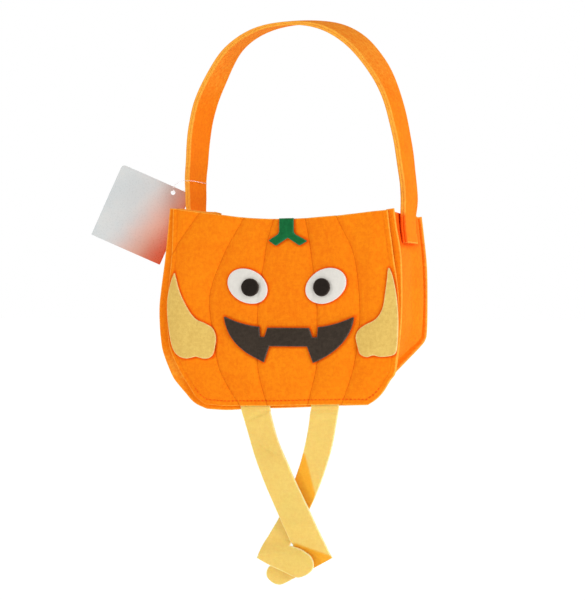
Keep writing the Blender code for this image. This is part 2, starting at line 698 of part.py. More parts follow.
def main():
    for obj in list(bpy.data.objects):
        bpy.data.objects.remove(obj, do_unlink=True)
    orange = new_material("orange_felt", (0.98, 0.25, 0.012), 0.95)
    beige = new_material("beige_felt", (0.75, 0.53, 0.15), 0.95)
    green = new_material("green_felt", (0.01, 0.14, 0.045), 0.95)
    white = new_material("white_felt", (0.78, 0.76, 0.72), 0.95)
    black = new_material("black_felt", (0.03, 0.025, 0.02), 0.95)
    paper = new_material("tag_card", (0.72, 0.68, 0.65), 0.6)
    clear = new_material("clear_plastic", (0.9, 0.9, 0.9), 0.2)

    basket = new_empty("basket", -grip_place(), (0, 0, 0), None)
    handle_hinge = new_empty("handle_hinge", (0, STRAP_CENTRE_Y, hinge_height()),
                             (radians(HANDLE_LEAN_DEG), 0, 0), basket)
    leg_hinge = new_empty("leg_hinge", leg_hinge_place(), (0, 0, 0), basket)
    tag_pin = new_empty("tag_pin", pin_place(), (0, 0, radians(TAG_YAW_DEG)), basket)
    loop_middle = new_empty("loop_middle", pin_place(), (0, 0, 0), basket)

    make_bag(orange, basket)
    make_face(green, white, black, beige, basket)
    make_strap_layer("handle_inner_layer", -FELT - GAP / 2, orange, handle_hinge)
    make_strap_layer("handle_outer_layer", GAP / 2, orange, handle_hinge)
    make_tails(orange, basket)
    make_leg("left_leg", -1, LEFT_LEG_X, LEFT_LEG_WIDTH, LEFT_LEG_START_BEND_DEG, LEFT_LEG_BEND_LENGTH,
             (LEFT_FOOT_LENGTH, LEFT_FOOT_LIFT_DEG), beige, leg_hinge)
    make_leg("right_leg", 1, RIGHT_LEG_X, RIGHT_LEG_WIDTH, RIGHT_LEG_START_BEND_DEG, RIGHT_LEG_BEND_LENGTH,
             (RIGHT_FOOT_LENGTH, RIGHT_FOOT_LIFT_DEG), beige, leg_hinge)
    make_tag(paper, tag_pin)
    make_tag_loop(clear, loop_middle)


main()
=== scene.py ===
# A felt treat basket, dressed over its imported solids: pumpkin bag, strap handle, crossed legs and plain tag.
# Shapes are worked out in millimetres in the bag's own frame: X to the viewer's right, Y to the back, Z up,
# with the front panel's face on Y = 0 and its bottom edge on Z = 0. Finished meshes are in metres.

import json
import math

import bmesh
import bpy
import numpy as np
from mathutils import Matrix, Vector, noise

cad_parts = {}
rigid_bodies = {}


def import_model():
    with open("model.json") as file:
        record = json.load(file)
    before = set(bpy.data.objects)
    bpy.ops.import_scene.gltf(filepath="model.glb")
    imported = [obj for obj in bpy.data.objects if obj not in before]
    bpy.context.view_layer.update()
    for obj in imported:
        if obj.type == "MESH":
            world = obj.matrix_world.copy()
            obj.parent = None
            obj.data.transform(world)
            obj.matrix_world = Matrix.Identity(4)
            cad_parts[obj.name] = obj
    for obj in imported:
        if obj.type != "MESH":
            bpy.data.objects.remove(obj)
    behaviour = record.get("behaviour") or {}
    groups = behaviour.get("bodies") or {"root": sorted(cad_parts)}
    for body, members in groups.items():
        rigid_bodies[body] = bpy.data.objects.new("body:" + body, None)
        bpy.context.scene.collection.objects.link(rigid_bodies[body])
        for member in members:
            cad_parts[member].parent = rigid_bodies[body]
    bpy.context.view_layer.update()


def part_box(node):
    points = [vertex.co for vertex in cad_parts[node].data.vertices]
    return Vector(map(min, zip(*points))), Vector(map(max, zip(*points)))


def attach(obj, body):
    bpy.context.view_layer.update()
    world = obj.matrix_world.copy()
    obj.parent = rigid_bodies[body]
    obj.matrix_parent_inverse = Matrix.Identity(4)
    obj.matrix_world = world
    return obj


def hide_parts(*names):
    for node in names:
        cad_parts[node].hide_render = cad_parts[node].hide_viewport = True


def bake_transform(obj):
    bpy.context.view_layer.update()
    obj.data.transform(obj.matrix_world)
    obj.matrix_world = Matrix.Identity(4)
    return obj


for leftover in list(bpy.data.objects):
    bpy.data.objects.remove(leftover, do_unlink=True)
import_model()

MM = 0.001
PANEL_LOW, PANEL_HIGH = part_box("front_panel")
BAG_ORIGIN = np.array(((PANEL_LOW.x + PANEL_HIGH.x) / 2, PANEL_LOW.y, PANEL_LOW.z))

# Sheet thicknesses, the gap kept between felt pieces, and how far a mesh's first lines lie from a cut edge
FELT = 1.8
APPLIQUE = 1.5
GAP = 0.3
EDGE_STEPS = np.array((0.0, 0.14, 0.4, 0.8))

# Bag: its seams, the turned edges of its gusset, its middle, and where its panels' edges run, as (x, z)
DEPTH = 75.0
SEAM_ALLOWANCE = 4.2
STITCH_INSET = 3.4
STITCH_SPACING, STITCH_LENGTH = 2.7, 1.7
FRONT_THREAD, BACK_THREAD = 0.62, 0.5
FLANGE_Y = FELT + GAP + FELT / 2
FLANGE_TURN = 1.7
BACK_FLANGE_SHOWS = 0.6
BAG_HEART = np.array((0.0, DEPTH / 2, 60.0))
RIM_LINE = (
    (-77.0, 134.6), (-66.3, 133.0), (-40.9, 129.6), (-24.4, 127.4), (-7.7, 126.3), (5.7, 126.0),
    (17.9, 126.3), (40.3, 127.6), (56.5, 129.0), (64.5, 129.8), (75.0, 130.8))
PANEL_RIGHT_SIDE = (
    (75.0, 130.8), (76.3, 120.0), (77.6, 110.5), (79.5, 97.0), (81.3, 85.0), (82.5, 72.0), (82.6, 53.4),
    (81.7, 39.6), (80.1, 25.3), (76.9, 20.3), (72.1, 12.4), (67.4, 7.4), (62.1, 3.7))
FRONT_RIGHT_SIDE = (
    (78.6, 131.9), (80.2, 119.4), (82.3, 107.7), (83.4, 95.3), (83.6, 72.0), (82.9, 53.4), (81.9, 39.6),
    (80.2, 25.3), (76.9, 20.3), (72.1, 12.4), (67.4, 7.4), (62.1, 3.7))
FRONT_BASE = (
    (62.1, 3.7), (40.7, 3.2), (23.3, 2.5), (7.9, 1.8), (-9.9, 1.2), (-27.8, 0.8), (-39.4, 0.5),
    (-53.3, 1.4))
FRONT_LEFT_SIDE = (
    (-53.3, 1.4), (-60.0, 6.0), (-64.4, 12.1), (-71.8, 22.9), (-78.5, 36.4), (-80.8, 46.0), (-81.9, 65.2),
    (-80.8, 78.8), (-78.1, 103.5), (-77.0, 134.6))
BACK_RIM = (
    (-75.5, 136.2), (-70.5, 133.6), (-53.0, 130.1), (-51.0, 127.6), (-26.0, 127.5), (0.0, 126.2),
    (26.0, 126.8), (52.0, 128.1), (78.6, 129.6))
BACK_RIGHT_SIDE = (
    (78.6, 129.6), (80.5, 113.7), (82.3, 94.5), (82.7, 71.3), (82.3, 50.0), (80.9, 43.6), (76.8, 38.6),
    (63.4, 25.6), (46.0, 8.8), (41.5, 4.4), (36.0, 1.0), (29.0, 0.0))
BACK_BASE = (
    (29.0, 0.0), (10.0, 0.0), (-10.0, 0.0), (-29.0, 0.0))
BACK_LEFT_SIDE = (*((-x, z) for x, z in BACK_RIGHT_SIDE[:0:-1]), BACK_RIM[0])

# How far the gusset's raw edge shows past the front panel, at places along the sewn edge as (x, z, length)
FLANGE_SHOWS = (
    (78.6, 131.9, 0.2), (83.5, 72.0, 0.7), (76.9, 20.3, 0.6), (62.1, 3.7, 0.4), (40.7, 3.2, 0.9),
    (20.9, 2.4, 1.4), (-8.9, 1.2, 1.8), (-40.7, 0.5, 3.0), (-53.3, 1.4, 3.4), (-62.2, 9.1, 5.6),
    (-71.8, 22.9, 7.8), (-78.5, 36.4, 7.0), (-80.8, 46.0, 6.6), (-81.9, 65.2, 6.4), (-80.8, 78.8, 6.2),
    (-78.1, 103.5, 5.4), (-77.0, 134.6, 3.4))

# Pumpkin ribs on the front, each a line of (x, z) from the rim down, and the width of the outermost lobes
RIBS = (
    ((-57.0, 131.9), (-64.4, 122.4), (-71.1, 113.6), (-76.3, 105.5), (-92.0, 78.0), (-112.0, 0.0)),
    ((-25.0, 128.0), (-27.3, 123.1), (-32.5, 115.1), (-38.0, 105.8), (-42.7, 95.7), (-47.0, 85.5),
    (-49.5, 77.4), (-50.2, 70.0), (-49.5, 62.0), (-44.5, 31.5), (-38.7, 17.3), (-28.0, 0.5)),
    ((-3.6, 127.0), (-8.4, 110.5), (-10.4, 99.0), (-15.0, 70.0), (-15.2, 35.1), (-14.2, 21.1), (-8.2, 0.5)),
    ((18.2, 127.5), (20.7, 115.1), (22.3, 105.8), (24.0, 93.2), (26.5, 72.0), (26.8, 60.0), (26.7, 32.3),
    (25.4, 22.4), (19.7, 1.5)),
    ((39.6, 128.0), (45.5, 116.7), (50.3, 107.1), (53.4, 96.9), (55.1, 85.1), (56.2, 72.0), (56.2, 58.9),
    (53.9, 37.0), (50.1, 21.0), (43.1, 2.0)))
LOBE_PAST_END = 30.0

# Soft folds in the front, near two of its corners and above its base, as (x, z, wide, tall, height, lean)
FOLDS = (
    (66.0, 112.0, 4.0, 17.0, 0.9, 0.10), (74.0, 108.0, 3.0, 20.0, -0.7, 0.02),
    (52.0, 118.0, 3.5, 9.0, -0.5, 0.25), (-66.0, 30.0, 4.0, 12.0, 0.5, 0.5),
    (36.0, 16.0, 4.0, 8.0, 0.5, -0.2), (-20.0, 12.0, 4.0, 8.0, 0.5, 0.2))

# Handle. Its felt is cupped across its width and pressed thin over the crown.
HINGE_Y, HINGE_Z = 42.0, 147.5
STRAP_WIDTH = 27.0
STRAP_MIDDLE_X = 78.45
STRAP_CUP = 0.45
TAIL_END_Z = 110.5
ARCH_START_Z = 150.0
CROWN_Z = 262.5
ARCH_FULLNESS = 2.25
ARCH_STATIONS = 240
LEAN_DEG = 5.0
CROWN_ROLL_DEG = 5.0
CROWN_PRESS, CROWN_PRESS_SPAN = 0.32, 26.0
TWIST_DEG = 6.5
TWIST_LENGTH = 70.0

# How far the strap's front and back edges stand right of the even arch, as (z, front, back), on each side
STRAP_EASE = {
    -1: ((130, 0.0, 0.7), (144, 0.0, 1.3), (160, -0.5, 1.3), (168, 0.0, 2.0), (176, -0.7, 1.3),
    (184, -1.3, 0.7), (192, -2.0, 0.0), (200, -2.0, -0.7), (208, -2.7, -0.7), (216, -2.0, -0.7),
    (224, -1.3, 0.3), (232, -0.7, 0.0), (241, -1.3, -1.3), (246, -2.0, -2.7), (252, -0.7, -4.0),
    (262, -0.5, -3.0)),
    1: ((130, -0.7, 1.3), (144, -0.7, 0.7), (160, -2.0, -0.7), (168, -2.0, -0.7), (176, -1.3, -0.7),
    (184, -0.7, -0.7), (192, 0.0, 0.0), (200, 1.3, 0.7), (208, 2.0, 1.3), (216, 2.0, 2.0), (224, 1.3, 2.7),
    (232, 0.7, 3.3), (241, 0.7, 3.3), (246, 0.7, 4.0), (252, 0.7, 4.7), (262, 2.0, 4.7))}

# Legs: hinge line, how far their tops are sewn in and set back, and the room that the gusset leaves them
LEG_HINGE_Y, LEG_HINGE_Z = 1.95, -2.2
LEG_SEWN_IN = 3.4
LEG_SET_BACK = 0.45
LEG_ROOM_DEPTH, LEG_ROOM_EASE = 1.1, 1.8
LEGS = {"left": dict(side=-1, start_x=-17.4, width=20.8), "right": dict(side=1, start_x=31.6, width=18.6)}

# Outlines of the hanging legs as (x, z), down one side, round the foot and up the other
LEG_OUTLINES = {
    "left": (((-28.2, 0.0), (-24.7, -10.8), (-18.1, -31.1), (-10.9, -49.3), (-5.5, -60.9), (0.5, -73.4),
    (6.2, -85.0), (9.0, -91.5)),
    ((9.0, -91.5), (5.5, -96.8), (0.4, -101.0), (-6.8, -105.7), (-8.9, -107.9), (-9.7, -110.9),
    (-8.9, -114.1), (-5.4, -117.1), (-0.9, -118.3), (3.6, -117.0), (11.5, -112.5), (24.3, -105.5),
    (36.8, -98.3)),
    ((36.8, -98.3), (33.4, -91.6), (26.8, -78.9), (20.5, -66.3), (10.3, -46.4), (6.5, -37.9), (-1.1, -21.9),
    (-6.0, -5.6), (-7.1, 1.0))),
    "right": (((22.0, 1.0), (19.9, -13.8), (15.5, -31.7), (10.6, -46.2), (5.2, -60.0), (-1.0, -73.2),
    (-5.1, -80.2), (-10.6, -89.4), (-14.2, -96.5), (-15.8, -100.5)),
    ((-15.8, -100.5), (-6.5, -104.9), (2.6, -108.3), (12.2, -111.8), (17.8, -110.6), (21.9, -107.9),
    (24.0, -104.8), (23.9, -101.0), (21.9, -97.3), (17.8, -94.6), (13.4, -92.8), (7.4, -91.6)),
    ((7.4, -91.6), (8.6, -88.6), (14.6, -78.0), (21.2, -65.1), (26.2, -54.2), (31.6, -39.8), (36.4, -24.4),
    (40.1, -6.6), (41.2, 1.0)))}

# Creases across each leg's face, as (x, z, wide, tall, deep, lean)
LEG_DENTS = {
    -1: ((-13.6, -4.6, 7.0, 1.0, 1.3, 0.45), (-7.1, -28.5, 6.5, 1.1, 1.1, -0.6),
         (4.0, -58.0, 6.0, 2.2, 0.3, 0.4)),
    1: ((30.0, -8.0, 6.0, 1.8, 0.4, 0.3), (22.0, -42.0, 6.0, 2.0, 0.35, -0.4))}

# Face: the gaps under its pieces, and the hands, the left one outlined as shares of its size
FACE_X = 6.1
PIECE_GAP, PUPIL_GAP = 0.12, 0.5
LEFT_HAND_PLACE, LEFT_HAND_SIZE = np.array((-80.9, 32.3)), np.array((36.2, 58.7))
HAND_OUTER = (
    (0.152, 1.0), (0.085, 0.90), (0.020, 0.74), (0.0, 0.58), (0.028, 0.36), (0.10, 0.14), (0.215, 0.037),
    (0.40, 0.0), (0.605, 0.024))
HAND_INNER = (
    (0.605, 0.024), (0.79, 0.0), (0.925, 0.037), (0.985, 0.16), (1.0, 0.25), (0.93, 0.35), (0.765, 0.412),
    (0.605, 0.455), (0.455, 0.56), (0.285, 0.75), (0.19, 0.92), (0.152, 1.0))
RIGHT_HAND = (
    (75.9, 93.1), (75.4, 86.1), (74.2, 76.3), (73.0, 68.3), (70.8, 62.9), (66.9, 58.8), (60.7, 55.8),
    (56.1, 52.5), (54.3, 48.7), (54.4, 45.4), (55.5, 41.1), (57.2, 36.7), (61.8, 34.8), (66.3, 36.0),
    (70.8, 35.1), (77.6, 35.7), (81.1, 38.1), (82.2, 45.7), (82.6, 57.6), (82.2, 67.3), (81.2, 76.3),
    (79.2, 86.1), (77.2, 91.8), (75.9, 93.1))
STEM = (
    (1.2, 126.3), (1.2, 117.2), (0.2, 115.6), (-6.3, 112.0), (-6.4, 111.4), (-1.6, 108.3), (-0.9, 108.3),
    (7.0, 113.1), (7.6, 113.1), (15.0, 108.3), (15.8, 108.3), (20.2, 110.8), (20.1, 111.3), (12.4, 115.6),
    (11.3, 117.2), (11.3, 126.3))

# Tag, and the room that its loop takes up in the hole
TAG_WIDTH, TAG_HEIGHT = 53.4, 55.0
TAG_THICKNESS = 0.6
TAG_HOLE_RADIUS = 1.65
TAG_PIN = (-96.11, 43.0, 149.5)
TAG_TILT_DEG = 23.9
TAG_YAW_DEG = 20.0
LOOP_ROOM = 0.55

# Painted shade: what is stored where nothing lies near, and how far it reaches beside the strap's tails
CLEAR = 99.0
TAIL_SHADE_REACH = 8.5

# Camera of the photograph: place in millimetres, turn, and focal length and picture width in pixels
CAMERA_PLACE = (347.15, -953.79, 72.0)
CAMERA_TURN_DEG = 19.487
FOCAL_PX, PICTURE_PX = 1522.0, 585.0

# Light: the surround as it lights and as it is seen, the floor's glow, and the floor's place in metres
SURROUND_LIGHT, SURROUND_SEEN = 0.38, 1.0
FLOOR_GLOW = 0.44
FLOOR_DROP, FLOOR_REACH = 0.36, 30.0
WHITE = (1.0, 1.0, 1.0, 1.0)


def smooth_step(value):
    value = np.clip(value, 0.0, 1.0)
    return value * value * (3 - 2 * value)


def unit(vectors):
    """The vectors at unit length."""
    return vectors / np.maximum(np.linalg.norm(vectors, axis=-1, keepdims=True), 1e-9)


def to_world(points):
    return np.asarray(points, float) * MM + BAG_ORIGIN


def bump_at(value, centre, spread):
    """A smooth bump of height 1 about its centre."""
    return np.exp(-((value - centre) / spread) ** 2)


def spline_run(points, steps, closed=False):
    """A smooth curve through the points, with a number of steps between each two."""
    p = np.array(points, float)
    ends = (p[-1:], p[:2]) if closed else (2 * p[:1] - p[1:2], 2 * p[-1:] - p[-2:-1])
    p = np.vstack([ends[0], p, ends[1]])
    t = (np.arange(steps) / steps)[:, None]
    run = []
    for k in range(1, len(p) - 2):
        a, b, c, d = p[k - 1:k + 3]
        run.append(0.5 * (2 * b + (c - a) * t + (2 * a - 5 * b + 4 * c - d) * t ** 2
                          + (3 * b - a - 3 * c + d) * t ** 3))
    return np.vstack(run if closed else run + [p[-2:-1]])


def along(line):
    """Distance from the start, at each point of a line."""
    return np.concatenate([[0.0], np.cumsum(np.linalg.norm(np.diff(line, axis=0), axis=1))])


def smooth_line(points, count):
    """A smooth line through the points, as count evenly spaced ones."""
    run = spline_run(points, 12)
    length = along(run)
    at = np.linspace(0, length[-1], count)
    return np.column_stack([np.interp(at, length, run[:, i]) for i in range(run.shape[1])])


def ripple(points, size, seed=0.0):
    """Smooth, repeatable unevenness from -1 to 1 with features of about this size in millimetres."""
    flat = np.asarray(points, float).reshape(-1, 3) / size + seed
    return np.array([noise.noise(Vector(p)) for p in flat]).reshape(np.asarray(points).shape[:-1])


def edge_distance(points, line):
    """The shortest distance from each (x, z) point to a line of (x, z) points."""
    flat = points.reshape(-1, 2)
    best = np.full(len(flat), 1e9)
    for a, b in zip(line, line[1:]):
        step = b - a
        share = np.clip(((flat - a) @ step) / max(step @ step, 1e-12), 0, 1)
        gap = flat - a - share[:, None] * step
        best = np.minimum(best, np.hypot(gap[:, 0], gap[:, 1]))
    return best.reshape(points.shape[:-1])


def steps_with_edges(length, spacing):
    """Shares of the way across a sheet from edge to edge, closer together beside the two cut edges."""
    inner = np.linspace(1.3, length - 1.3, max(2, int(length / spacing)))
    return np.concatenate([EDGE_STEPS, inner, length - EDGE_STEPS[::-1]]) / length


def linked(name, data):
    """A new object of a mesh, lamp or camera, put in the scene."""
    obj = bpy.data.objects.new(name, data)
    bpy.context.scene.collection.objects.link(obj)
    return obj


def turn_outward(obj):
    """Turns a closed mesh the right way round."""
    shape = bmesh.new()
    shape.from_mesh(obj.data)
    if shape.calc_volume(signed=True) < 0:
        bmesh.ops.reverse_faces(shape, faces=shape.faces)
        shape.to_mesh(obj.data)
    shape.free()


def store(mesh, key, data):
    """Stores a value at each vertex of a mesh."""
    mesh.attributes.new(key, "FLOAT", "POINT").data.foreach_set("value", np.asarray(data, np.float32).ravel())


def shade_smooth(mesh):
    mesh.polygons.foreach_set("use_smooth", np.ones(len(mesh.polygons), bool))
    mesh.update()


def new_piece(name, vertices, faces, material, values=None):
    """A finished, smooth-shaded mesh from points in millimetres, with named values stored at its vertices."""
    mesh = bpy.data.meshes.new(name)
    mesh.from_pydata(to_world(vertices).tolist(), [], [list(map(int, face)) for face in faces])
    mesh.materials.append(material)
    for key, data in (values or {}).items():
        store(mesh, key, data)
    shade_smooth(mesh)
    obj = linked(name, mesh)
    turn_outward(obj)
    return obj


def grid_faces(rows, cols, start=0):
    index = np.arange(rows * cols).reshape(rows, cols) + start
    return np.stack([index[:-1, :-1], index[:-1, 1:], index[1:, 1:], index[1:, :-1]], -1).reshape(-1, 4)


def felt_from_grid(name, middle, thickness, material, values=None, softened=0.3, pale=1.1, face_paleness=0.0,
                   outer_shade=None):
    """A felt sheet about a grid of points on its middle surface, with softened cut edges painted lighter:
    partly the paler look of cut fibres, partly a painted highlight.

    outer_shade says how near a painted shadow is, for the face that is turned out of the bag.
    """
    rows, cols = middle.shape[:2]
    count = rows * cols
    normal = unit(np.cross(np.gradient(middle, axis=1), np.gradient(middle, axis=0)))
    from_left = np.cumsum(np.linalg.norm(np.diff(middle, axis=1, prepend=middle[:, :1]), axis=2), axis=1)
    from_top = np.cumsum(np.linalg.norm(np.diff(middle, axis=0, prepend=middle[:1]), axis=2), axis=0)
    edge = np.minimum.reduce([from_left, from_left[:, -1:] - from_left, from_top, from_top[-1:] - from_top])
    half = thickness / 2 * (1 - softened * (1 - np.clip(edge / 0.42, 0, 1)) ** 2)
    sides = np.stack([middle + normal * half[..., None], middle - normal * half[..., None]])
    index = np.arange(count).reshape(rows, cols)
    loop = np.concatenate([index[0, :-1], index[:-1, -1], index[-1, :0:-1], index[:0:-1, 0]])
    ahead = np.roll(loop, -1)
    faces = np.concatenate([grid_faces(rows, cols), grid_faces(rows, cols, count)[:, ::-1],
                            np.stack([ahead, loop, loop + count, ahead + count], -1)])
    cut = np.maximum(np.clip(1 - edge / pale, 0, 1), face_paleness)
    stored = {key: np.tile(np.ravel(data), 2) for key, data in {"cut_edge": cut, **(values or {})}.items()}
    if outer_shade is not None:
        far = np.linalg.norm(sides - BAG_HEART, axis=3)
        stored["painted_shade_distance"] = np.where(far > far[::-1], outer_shade, CLEAR)
    return new_piece(name, sides.reshape(-1, 3), faces, material, stored)


def inset_loop(outline, by):
    """The closed outline moved inwards by a small distance, corners kept about where they are."""
    after, before = np.roll(outline, -1, axis=0), np.roll(outline, 1, axis=0)
    tangent = unit(unit(after - outline) + unit(outline - before))
    turning = np.sum(outline[:, 0] * after[:, 1] - after[:, 0] * outline[:, 1])
    return outline + np.column_stack([-tangent[:, 1], tangent[:, 0]]) * by * np.sign(turning)


def dense_loop(outline, step):
    """The closed outline with extra points, none further apart than step."""
    points = []
    for a, b in zip(outline, np.roll(outline, -1, axis=0)):
        count = max(1, int(math.ceil(np.linalg.norm(b - a) / step)))
        for i in range(count):
            points.append(a + (b - a) * i / count)
    return np.array(points)


def filled(loops, cuts, tolerance):
    """A flat mesh that fills closed loops of (x, z), sliced at these places along X and along Z."""
    flat = bmesh.new()
    edges = []
    for loop in loops:
        verts = [flat.verts.new((x, 0.0, z)) for x, z in loop]
        edges += [flat.edges.new((v, verts[(i + 1) % len(verts)])) for i, v in enumerate(verts)]
    bmesh.ops.triangle_fill(flat, use_beauty=True, use_dissolve=False, edges=edges, normal=(0, -1, 0))
    for places, normal in zip(cuts, ((1, 0, 0), (0, 0, 1))):
        for at in places:
            geometry = flat.verts[:] + flat.edges[:] + flat.faces[:]
            place = tuple(at * n for n in normal)
            bmesh.ops.bisect_plane(flat, geom=geometry, plane_co=place, plane_no=normal, dist=tolerance)
    bmesh.ops.recalc_face_normals(flat, faces=flat.faces)
    flat.verts.index_update()
    return flat


def border_of(faces):
    """The one closed border of an open mesh, as vertex numbers in order."""
    sides = {(a, b) for face in faces for a, b in zip(face, face[1:] + face[:1])}
    following = {a: b for a, b in sides if (b, a) not in sides}
    ring = [min(following)]
    while len(ring) < len(following):
        ring.append(following[ring[-1]])
    return np.array(ring)


def cut_from_felt(name, outline, face_y, material, spacing=1.2, pillow=0.25, thickness=APPLIQUE, values=None):
    """A piece cut from sheet along an outline of (x, z), its face at depth face_y(x, z), slightly crowned."""
    outline = dense_loop(np.array(outline, float), 0.8)
    rim = 0.4
    cuts = [np.arange(low + spacing * 0.37, high, spacing)
            for low, high in zip(outline.min(0), outline.max(0))]
    flat = filled([inset_loop(outline, rim)], cuts, 0.02)
    if sum(f.normal.y * f.calc_area() for f in flat.faces) > 0:
        bmesh.ops.reverse_faces(flat, faces=flat.faces)
    inner = np.array([(v.co.x, v.co.z) for v in flat.verts])
    faces = [[v.index for v in f.verts] for f in flat.faces]
    flat.free()
    ring = border_of(faces)
    line = inner[ring]
    from_edge = edge_distance(inner, np.vstack([line, line[:1]]))

    def layer(points, back):
        x, z = points.T
        return np.column_stack([x, face_y(x, z) + back, z])

    # The cut edge as rings: how far out, how far back, and how much it looks cut
    rings = ((0.72, 0.07, 0.7), (0.93, 0.2, 0.95), (1.0, 0.42, 1.0), (1.0, thickness - 0.36, 1.0),
             (0.9, thickness - 0.12, 0.8))
    count, turns = len(inner), len(ring)
    behind = count + len(rings) * turns
    vertices = [layer(inner, -pillow * (1 - np.exp(-from_edge / 2.5)))]
    cut = [0.5 * np.clip(1 - from_edge / 0.9, 0, 1)]
    for out, back, share in rings:
        vertices.append(layer(inset_loop(line, -rim * out), back))
        cut.append(np.full(turns, share))
    points = np.vstack(vertices + [layer(inner, thickness)])
    stored = {"cut_edge": np.concatenate(cut + [np.zeros(count)])}
    tracks = [ring] + [count + k * turns + np.arange(turns) for k in range(len(rings))] + [ring + behind]
    made = list(faces)
    for near, far in zip(tracks, tracks[1:]):
        made += np.column_stack([np.roll(near, -1), near, far, np.roll(far, -1)]).tolist()
    made += [[i + behind for i in reversed(face)] for face in faces]
    stored.update({key: work_out(points) for key, work_out in (values or {}).items()})
    return new_piece(name, points, made, material, stored)


def node(tree, kind, **settings):
    made = tree.nodes.new(kind)
    for key, value in settings.items():
        if key in made.inputs:
            made.inputs[key].default_value = value
        else:
            setattr(made, key, value)
    return made


def link(socket, slot):
    socket.id_data.links.new(socket, slot)


def fed(kind, values, **settings):
    """A node fed by values, each a socket, a number or a colour, in the tree of the first socket."""
    sockets = [value for value in values.values() if isinstance(value, bpy.types.NodeSocket)]
    made = node(sockets[0].id_data, kind, **settings)
    slots = {slot.identifier: slot for slot in made.inputs}
    for key, value in values.items():
        if value in sockets:
            link(value, slots[key])
        else:
            slots[key].default_value = (*value, 1.0) if isinstance(value, tuple) else value
    return made


def maths(operation, *values):
    """A Math node on one or two values, each a socket or a number."""
    return fed("ShaderNodeMath", dict(zip(("Value", "Value_001"), values)), operation=operation).outputs[0]


def plus(a, b):
    return maths("ADD", a, b)


def times(a, b):
    return maths("MULTIPLY", a, b)


def largest(a, b, c):
    return maths("MAXIMUM", maths("MAXIMUM", a, b), c)


def mixed(factor, a, b, how="MIX"):
    """A colour mix, each input a socket or a colour."""
    values = {"Factor_Float": factor, "A_Color": a, "B_Color": b}
    made = fed("ShaderNodeMix", values, data_type="RGBA", blend_type=how)
    return next(slot for slot in made.outputs if slot.identifier == "Result_Color")


def ramp(value, low, high, to_low=0.0, to_high=1.0):
    values = {"Value": value, "From Min": low, "From Max": high, "To Min": to_low, "To Max": to_high}
    return fed("ShaderNodeMapRange", values, interpolation_type="SMOOTHSTEP").outputs["Result"]


def stored_value(where, key):
    return node(where.id_data, "ShaderNodeAttribute", attribute_name=key).outputs["Fac"]


def textured(where, kind="Noise", **settings):
    """A texture's value at these coordinates."""
    made = node(where.id_data, "ShaderNodeTex" + kind, **settings)
    link(where, made.inputs["Vector"])
    return made.outputs["Fac"]


def turned(where, turn, stretch=(1.0, 1.0, 1.0)):
    """Coordinates turned, and then stretched along their axes."""
    place = node(where.id_data, "ShaderNodeMapping", Rotation=turn, Scale=stretch)
    link(where, place.inputs["Vector"])
    return place.outputs["Vector"]


def new_material(name, looks):
    """A material, its shader with these plain values, and the object's own coordinates."""
    material = bpy.data.materials.new(name)
    material.use_nodes = True
    shader = material.node_tree.nodes["Principled BSDF"]
    for key, value in looks.items():
        shader.inputs[key].default_value = value
    return material, shader, node(material.node_tree, "ShaderNodeTexCoord").outputs["Object"]


def dress(shader, colour, height, strength, distance):
    """Feeds a shader its colour and the fine relief of its surface."""
    link(colour, shader.inputs["Base Color"])
    relief = node(shader.id_data, "ShaderNodeBump", Strength=strength, Distance=distance)
    link(height, relief.inputs["Height"])
    link(relief.outputs["Normal"], shader.inputs["Normal"])


# Three ways that the hairs of felt lie: turn, scale and stretch
FIBRE_WAYS = (((0.3, 0.5, 0.2), 900.0, (1.0, 1.0, 0.16)), ((0.9, -0.7, 1.1), 1000.0, (0.15, 1.0, 1.0)),
              ((-0.4, 0.9, -0.8), 1100.0, (1.0, 0.16, 1.0)))
FIBRE_DEPTH = 0.00009
# Colour of the painted shade in the front's rib grooves and along its seam line
SEWN_SHADE = (0.80, 0.095, 0.003)


